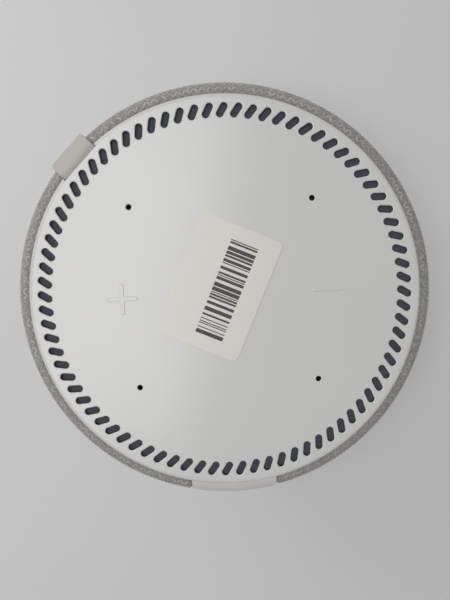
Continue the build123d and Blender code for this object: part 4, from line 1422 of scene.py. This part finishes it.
def make_flexing_ring(name, slot, node, outline, start, end):
    """A ring turned from a closed outline, in sectors round the axis."""
    sectors = driver().sectors
    points = len(outline)
    parts = []
    for index in range(sectors):
        turn = TURN * index / sectors
        part = add_piece(
            name, bpy.ops.mesh.primitive_grid_add, x_subdivisions=points, y_subdivisions=SECTOR_STEPS,
            size=1)
        for vertex in part.data.vertices:
            point = outline[round((vertex.co.x + 0.5) * points) % points]
            vertex.co = polar(point.x, turn + TURN * vertex.co.y / sectors, point.y)
        polar(start, turn, 0)
        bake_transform(part)
        parts.append(part)
    piece = parts[0]
    join(piece, parts[1:])
    with editing(piece):
        merge()
        face_outwards()
    bpy.ops.object.shade_smooth_by_angle(angle=SMOOTH_ANGLE)
    dress(piece, slot, node)


def make_driver_rings():
    """The surround and the spider."""
    size = driver()
    make_flexing_ring(
        "surround", "soft_rubber", "driver_surround", surround_outline(), size.cone, size.roll)
    make_flexing_ring(
        "spider", "spider_cloth", "driver_spider", spider_outline(),
        size.spider_inner + size.spider_edge, size.spider_outer - size.spider_edge)


# Stage

def seen(tree):
    """1 for what is looked at, also in gloss or through glass, and 0 for what only gives light."""
    ray = tree.add("ShaderNodeLightPath").outputs
    direct = tree.maths("MAXIMUM", ray["Is Camera Ray"], ray["Is Glossy Ray"])
    return tree.maths("MAXIMUM", direct, ray["Is Transmission Ray"])


def make_room():
    """Soft even light, which looks paler behind the object than it lights it."""
    world = bpy.data.worlds.new("Pale Room")
    world.use_nodes = True
    tree = Tree(world.node_tree)
    background = world.node_tree.nodes["Background"]
    tree.shade(background, Color=ROOM_TINT, Strength=tree.spread(seen(tree), ROOM_LIGHT, ROOM_SEEN))
    bpy.context.scene.world = world


def make_table():
    """Pale table top, which fades into the room far from the object."""
    piece = add_piece(TABLE, bpy.ops.mesh.primitive_plane_add, size=TABLE_SIZE)
    tree, shader = blank_material(TABLE)
    place = tree.place()
    cloudy = tree.noise(place, 9.0)
    tree.shade(shader, Base_Color=tree.mix(cloudy, shown(216, 216, 217), tints().floor), Roughness=0.6)
    distance = tree.add("ShaderNodeVectorMath", {0: place}, operation="LENGTH").outputs["Value"]
    far = tree.add(
        "ShaderNodeMapRange", {"Value": distance, "From Min": TABLE_NEAR, "From Max": TABLE_FAR},
        interpolation_type="SMOOTHSTEP").outputs[0]
    room = tree.add("ShaderNodeEmission", {"Color": ROOM_TINT, "Strength": ROOM_SEEN}).outputs[0]
    fade = tree.maths("MULTIPLY", far, seen(tree))
    faded = tree.add("ShaderNodeMixShader", {0: fade, 1: shader.outputs[0], 2: room}).outputs[0]
    tree.shade(tree.tree.nodes["Material Output"], Surface=faded)
    cover(piece, TABLE)


def add_lamp(name, place, turns, width, depth, power, tint):
    """A soft lamp; unturned it shines straight down."""
    bpy.ops.object.light_add(type="AREA", location=place, rotation=[math.radians(turn) for turn in turns])
    lamp = bpy.context.object
    lamp.name = name
    lamp.data.shape = "RECTANGLE"
    lamp.data.size = width
    lamp.data.size_y = depth
    lamp.data.energy = power
    lamp.data.color = tint


def add_camera():
    """The camera, high over the plate."""
    bpy.ops.object.camera_add()
    camera = bpy.context.object
    camera.name = "camera"
    ahead = Vector(CAMERA_AHEAD).normalized()
    right = ahead.cross(Vector(CAMERA_UP)).normalized()
    up = right.cross(ahead)
    turn = Matrix((right, up, -ahead)).transposed().to_4x4()
    camera.matrix_world = Matrix.Translation(CAMERA_PLACE) @ turn
    camera.data.lens = LENS
    camera.data.sensor_width = SENSOR
    camera.data.clip_start = CLIP_START
    bpy.context.scene.camera = camera


def make_stage():
    """Table top, pale surroundings, soft lamps and the camera."""
    make_table()
    make_room()
    for lamp in LAMPS:
        add_lamp(*lamp)
    add_camera()
    bpy.context.scene.view_settings.view_transform = "Standard"


# Operators

class SPEAKER_OT_finishes(bpy.types.Operator):
    """Makes the materials and gives every CAD part its finish"""

    bl_idname = "speaker.finishes"
    bl_label = "Finishes"

    def execute(self, context):
        build_finishes()
        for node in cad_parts.values():
            for slot in node.material_slots:
                slot.material = finish(slot.material.name.split(".")[0])
        return {"FINISHED"}


class SPEAKER_OT_top_plate(bpy.types.Operator):
    """Models the touch plate and the cloth behind its slots"""

    bl_idname = "speaker.top_plate"
    bl_label = "Touch Plate"

    def execute(self, context):
        make_top_plate()
        make_acoustic_mesh()
        return {"FINISHED"}


class SPEAKER_OT_tag(bpy.types.Operator):
    """Models the side tag"""

    bl_idname = "speaker.tag"
    bl_label = "Side Tag"

    def execute(self, context):
        make_tag()
        return {"FINISHED"}


class SPEAKER_OT_label(bpy.types.Operator):
    """Models the paper label and its printed bars"""

    bl_idname = "speaker.label"
    bl_label = "Label"

    def execute(self, context):
        make_label()
        make_label_bars()
        return {"FINISHED"}


class SPEAKER_OT_fabric(bpy.types.Operator):
    """Models the knitted sleeve"""

    bl_idname = "speaker.fabric"
    bl_label = "Fabric Sleeve"

    def execute(self, context):
        make_fabric()
        return {"FINISHED"}


class SPEAKER_OT_driver(bpy.types.Operator):
    """Models the driver's surround and spider"""

    bl_idname = "speaker.driver"
    bl_label = "Driver Rings"

    def execute(self, context):
        make_driver_rings()
        return {"FINISHED"}


class SPEAKER_OT_stage(bpy.types.Operator):
    """Sets up the table, the lamps and the camera"""

    bl_idname = "speaker.stage"
    bl_label = "Stage"

    def execute(self, context):
        make_stage()
        return {"FINISHED"}


STEPS = (
    SPEAKER_OT_finishes,
    SPEAKER_OT_top_plate,
    SPEAKER_OT_tag,
    SPEAKER_OT_label,
    SPEAKER_OT_fabric,
    SPEAKER_OT_driver,
    SPEAKER_OT_stage,
)
GROUPS = {
    "speaker_body": SpeakerBody,
    "speaker_plate": SpeakerPlate,
    "speaker_tag": SpeakerTag,
    "speaker_label": SpeakerLabel,
    "speaker_driver": SpeakerDriver,
    "speaker_colours": SpeakerColours,
}


class SPEAKER_PT_sidebar(bpy.types.Panel):
    """Lists the speaker's pieces"""

    bl_label = "Speaker"
    bl_space_type = "VIEW_3D"
    bl_region_type = "UI"
    bl_category = "Speaker"

    def draw(self, context):
        for step in STEPS:
            self.layout.operator(step.bl_idname)


def register():
    """Registers the property groups, the operators and the panel."""
    for name, group in GROUPS.items():
        bpy.utils.register_class(group)
        setattr(bpy.types.Scene, name, bpy.props.PointerProperty(type=group))
    for made in (*STEPS, SPEAKER_PT_sidebar):
        bpy.utils.register_class(made)


def unregister():
    """Takes everything out again."""
    for made in (SPEAKER_PT_sidebar, *reversed(STEPS)):
        bpy.utils.unregister_class(made)
    for name, group in GROUPS.items():
        delattr(bpy.types.Scene, name)
        bpy.utils.unregister_class(group)


def main():
    register()
    bpy.ops.speaker.finishes()
    bpy.ops.speaker.top_plate()
    bpy.ops.speaker.tag()
    bpy.ops.speaker.label()
    bpy.ops.speaker.fabric()
    bpy.ops.speaker.driver()
    bpy.ops.speaker.stage()


if __name__ == "__main__":
    main()
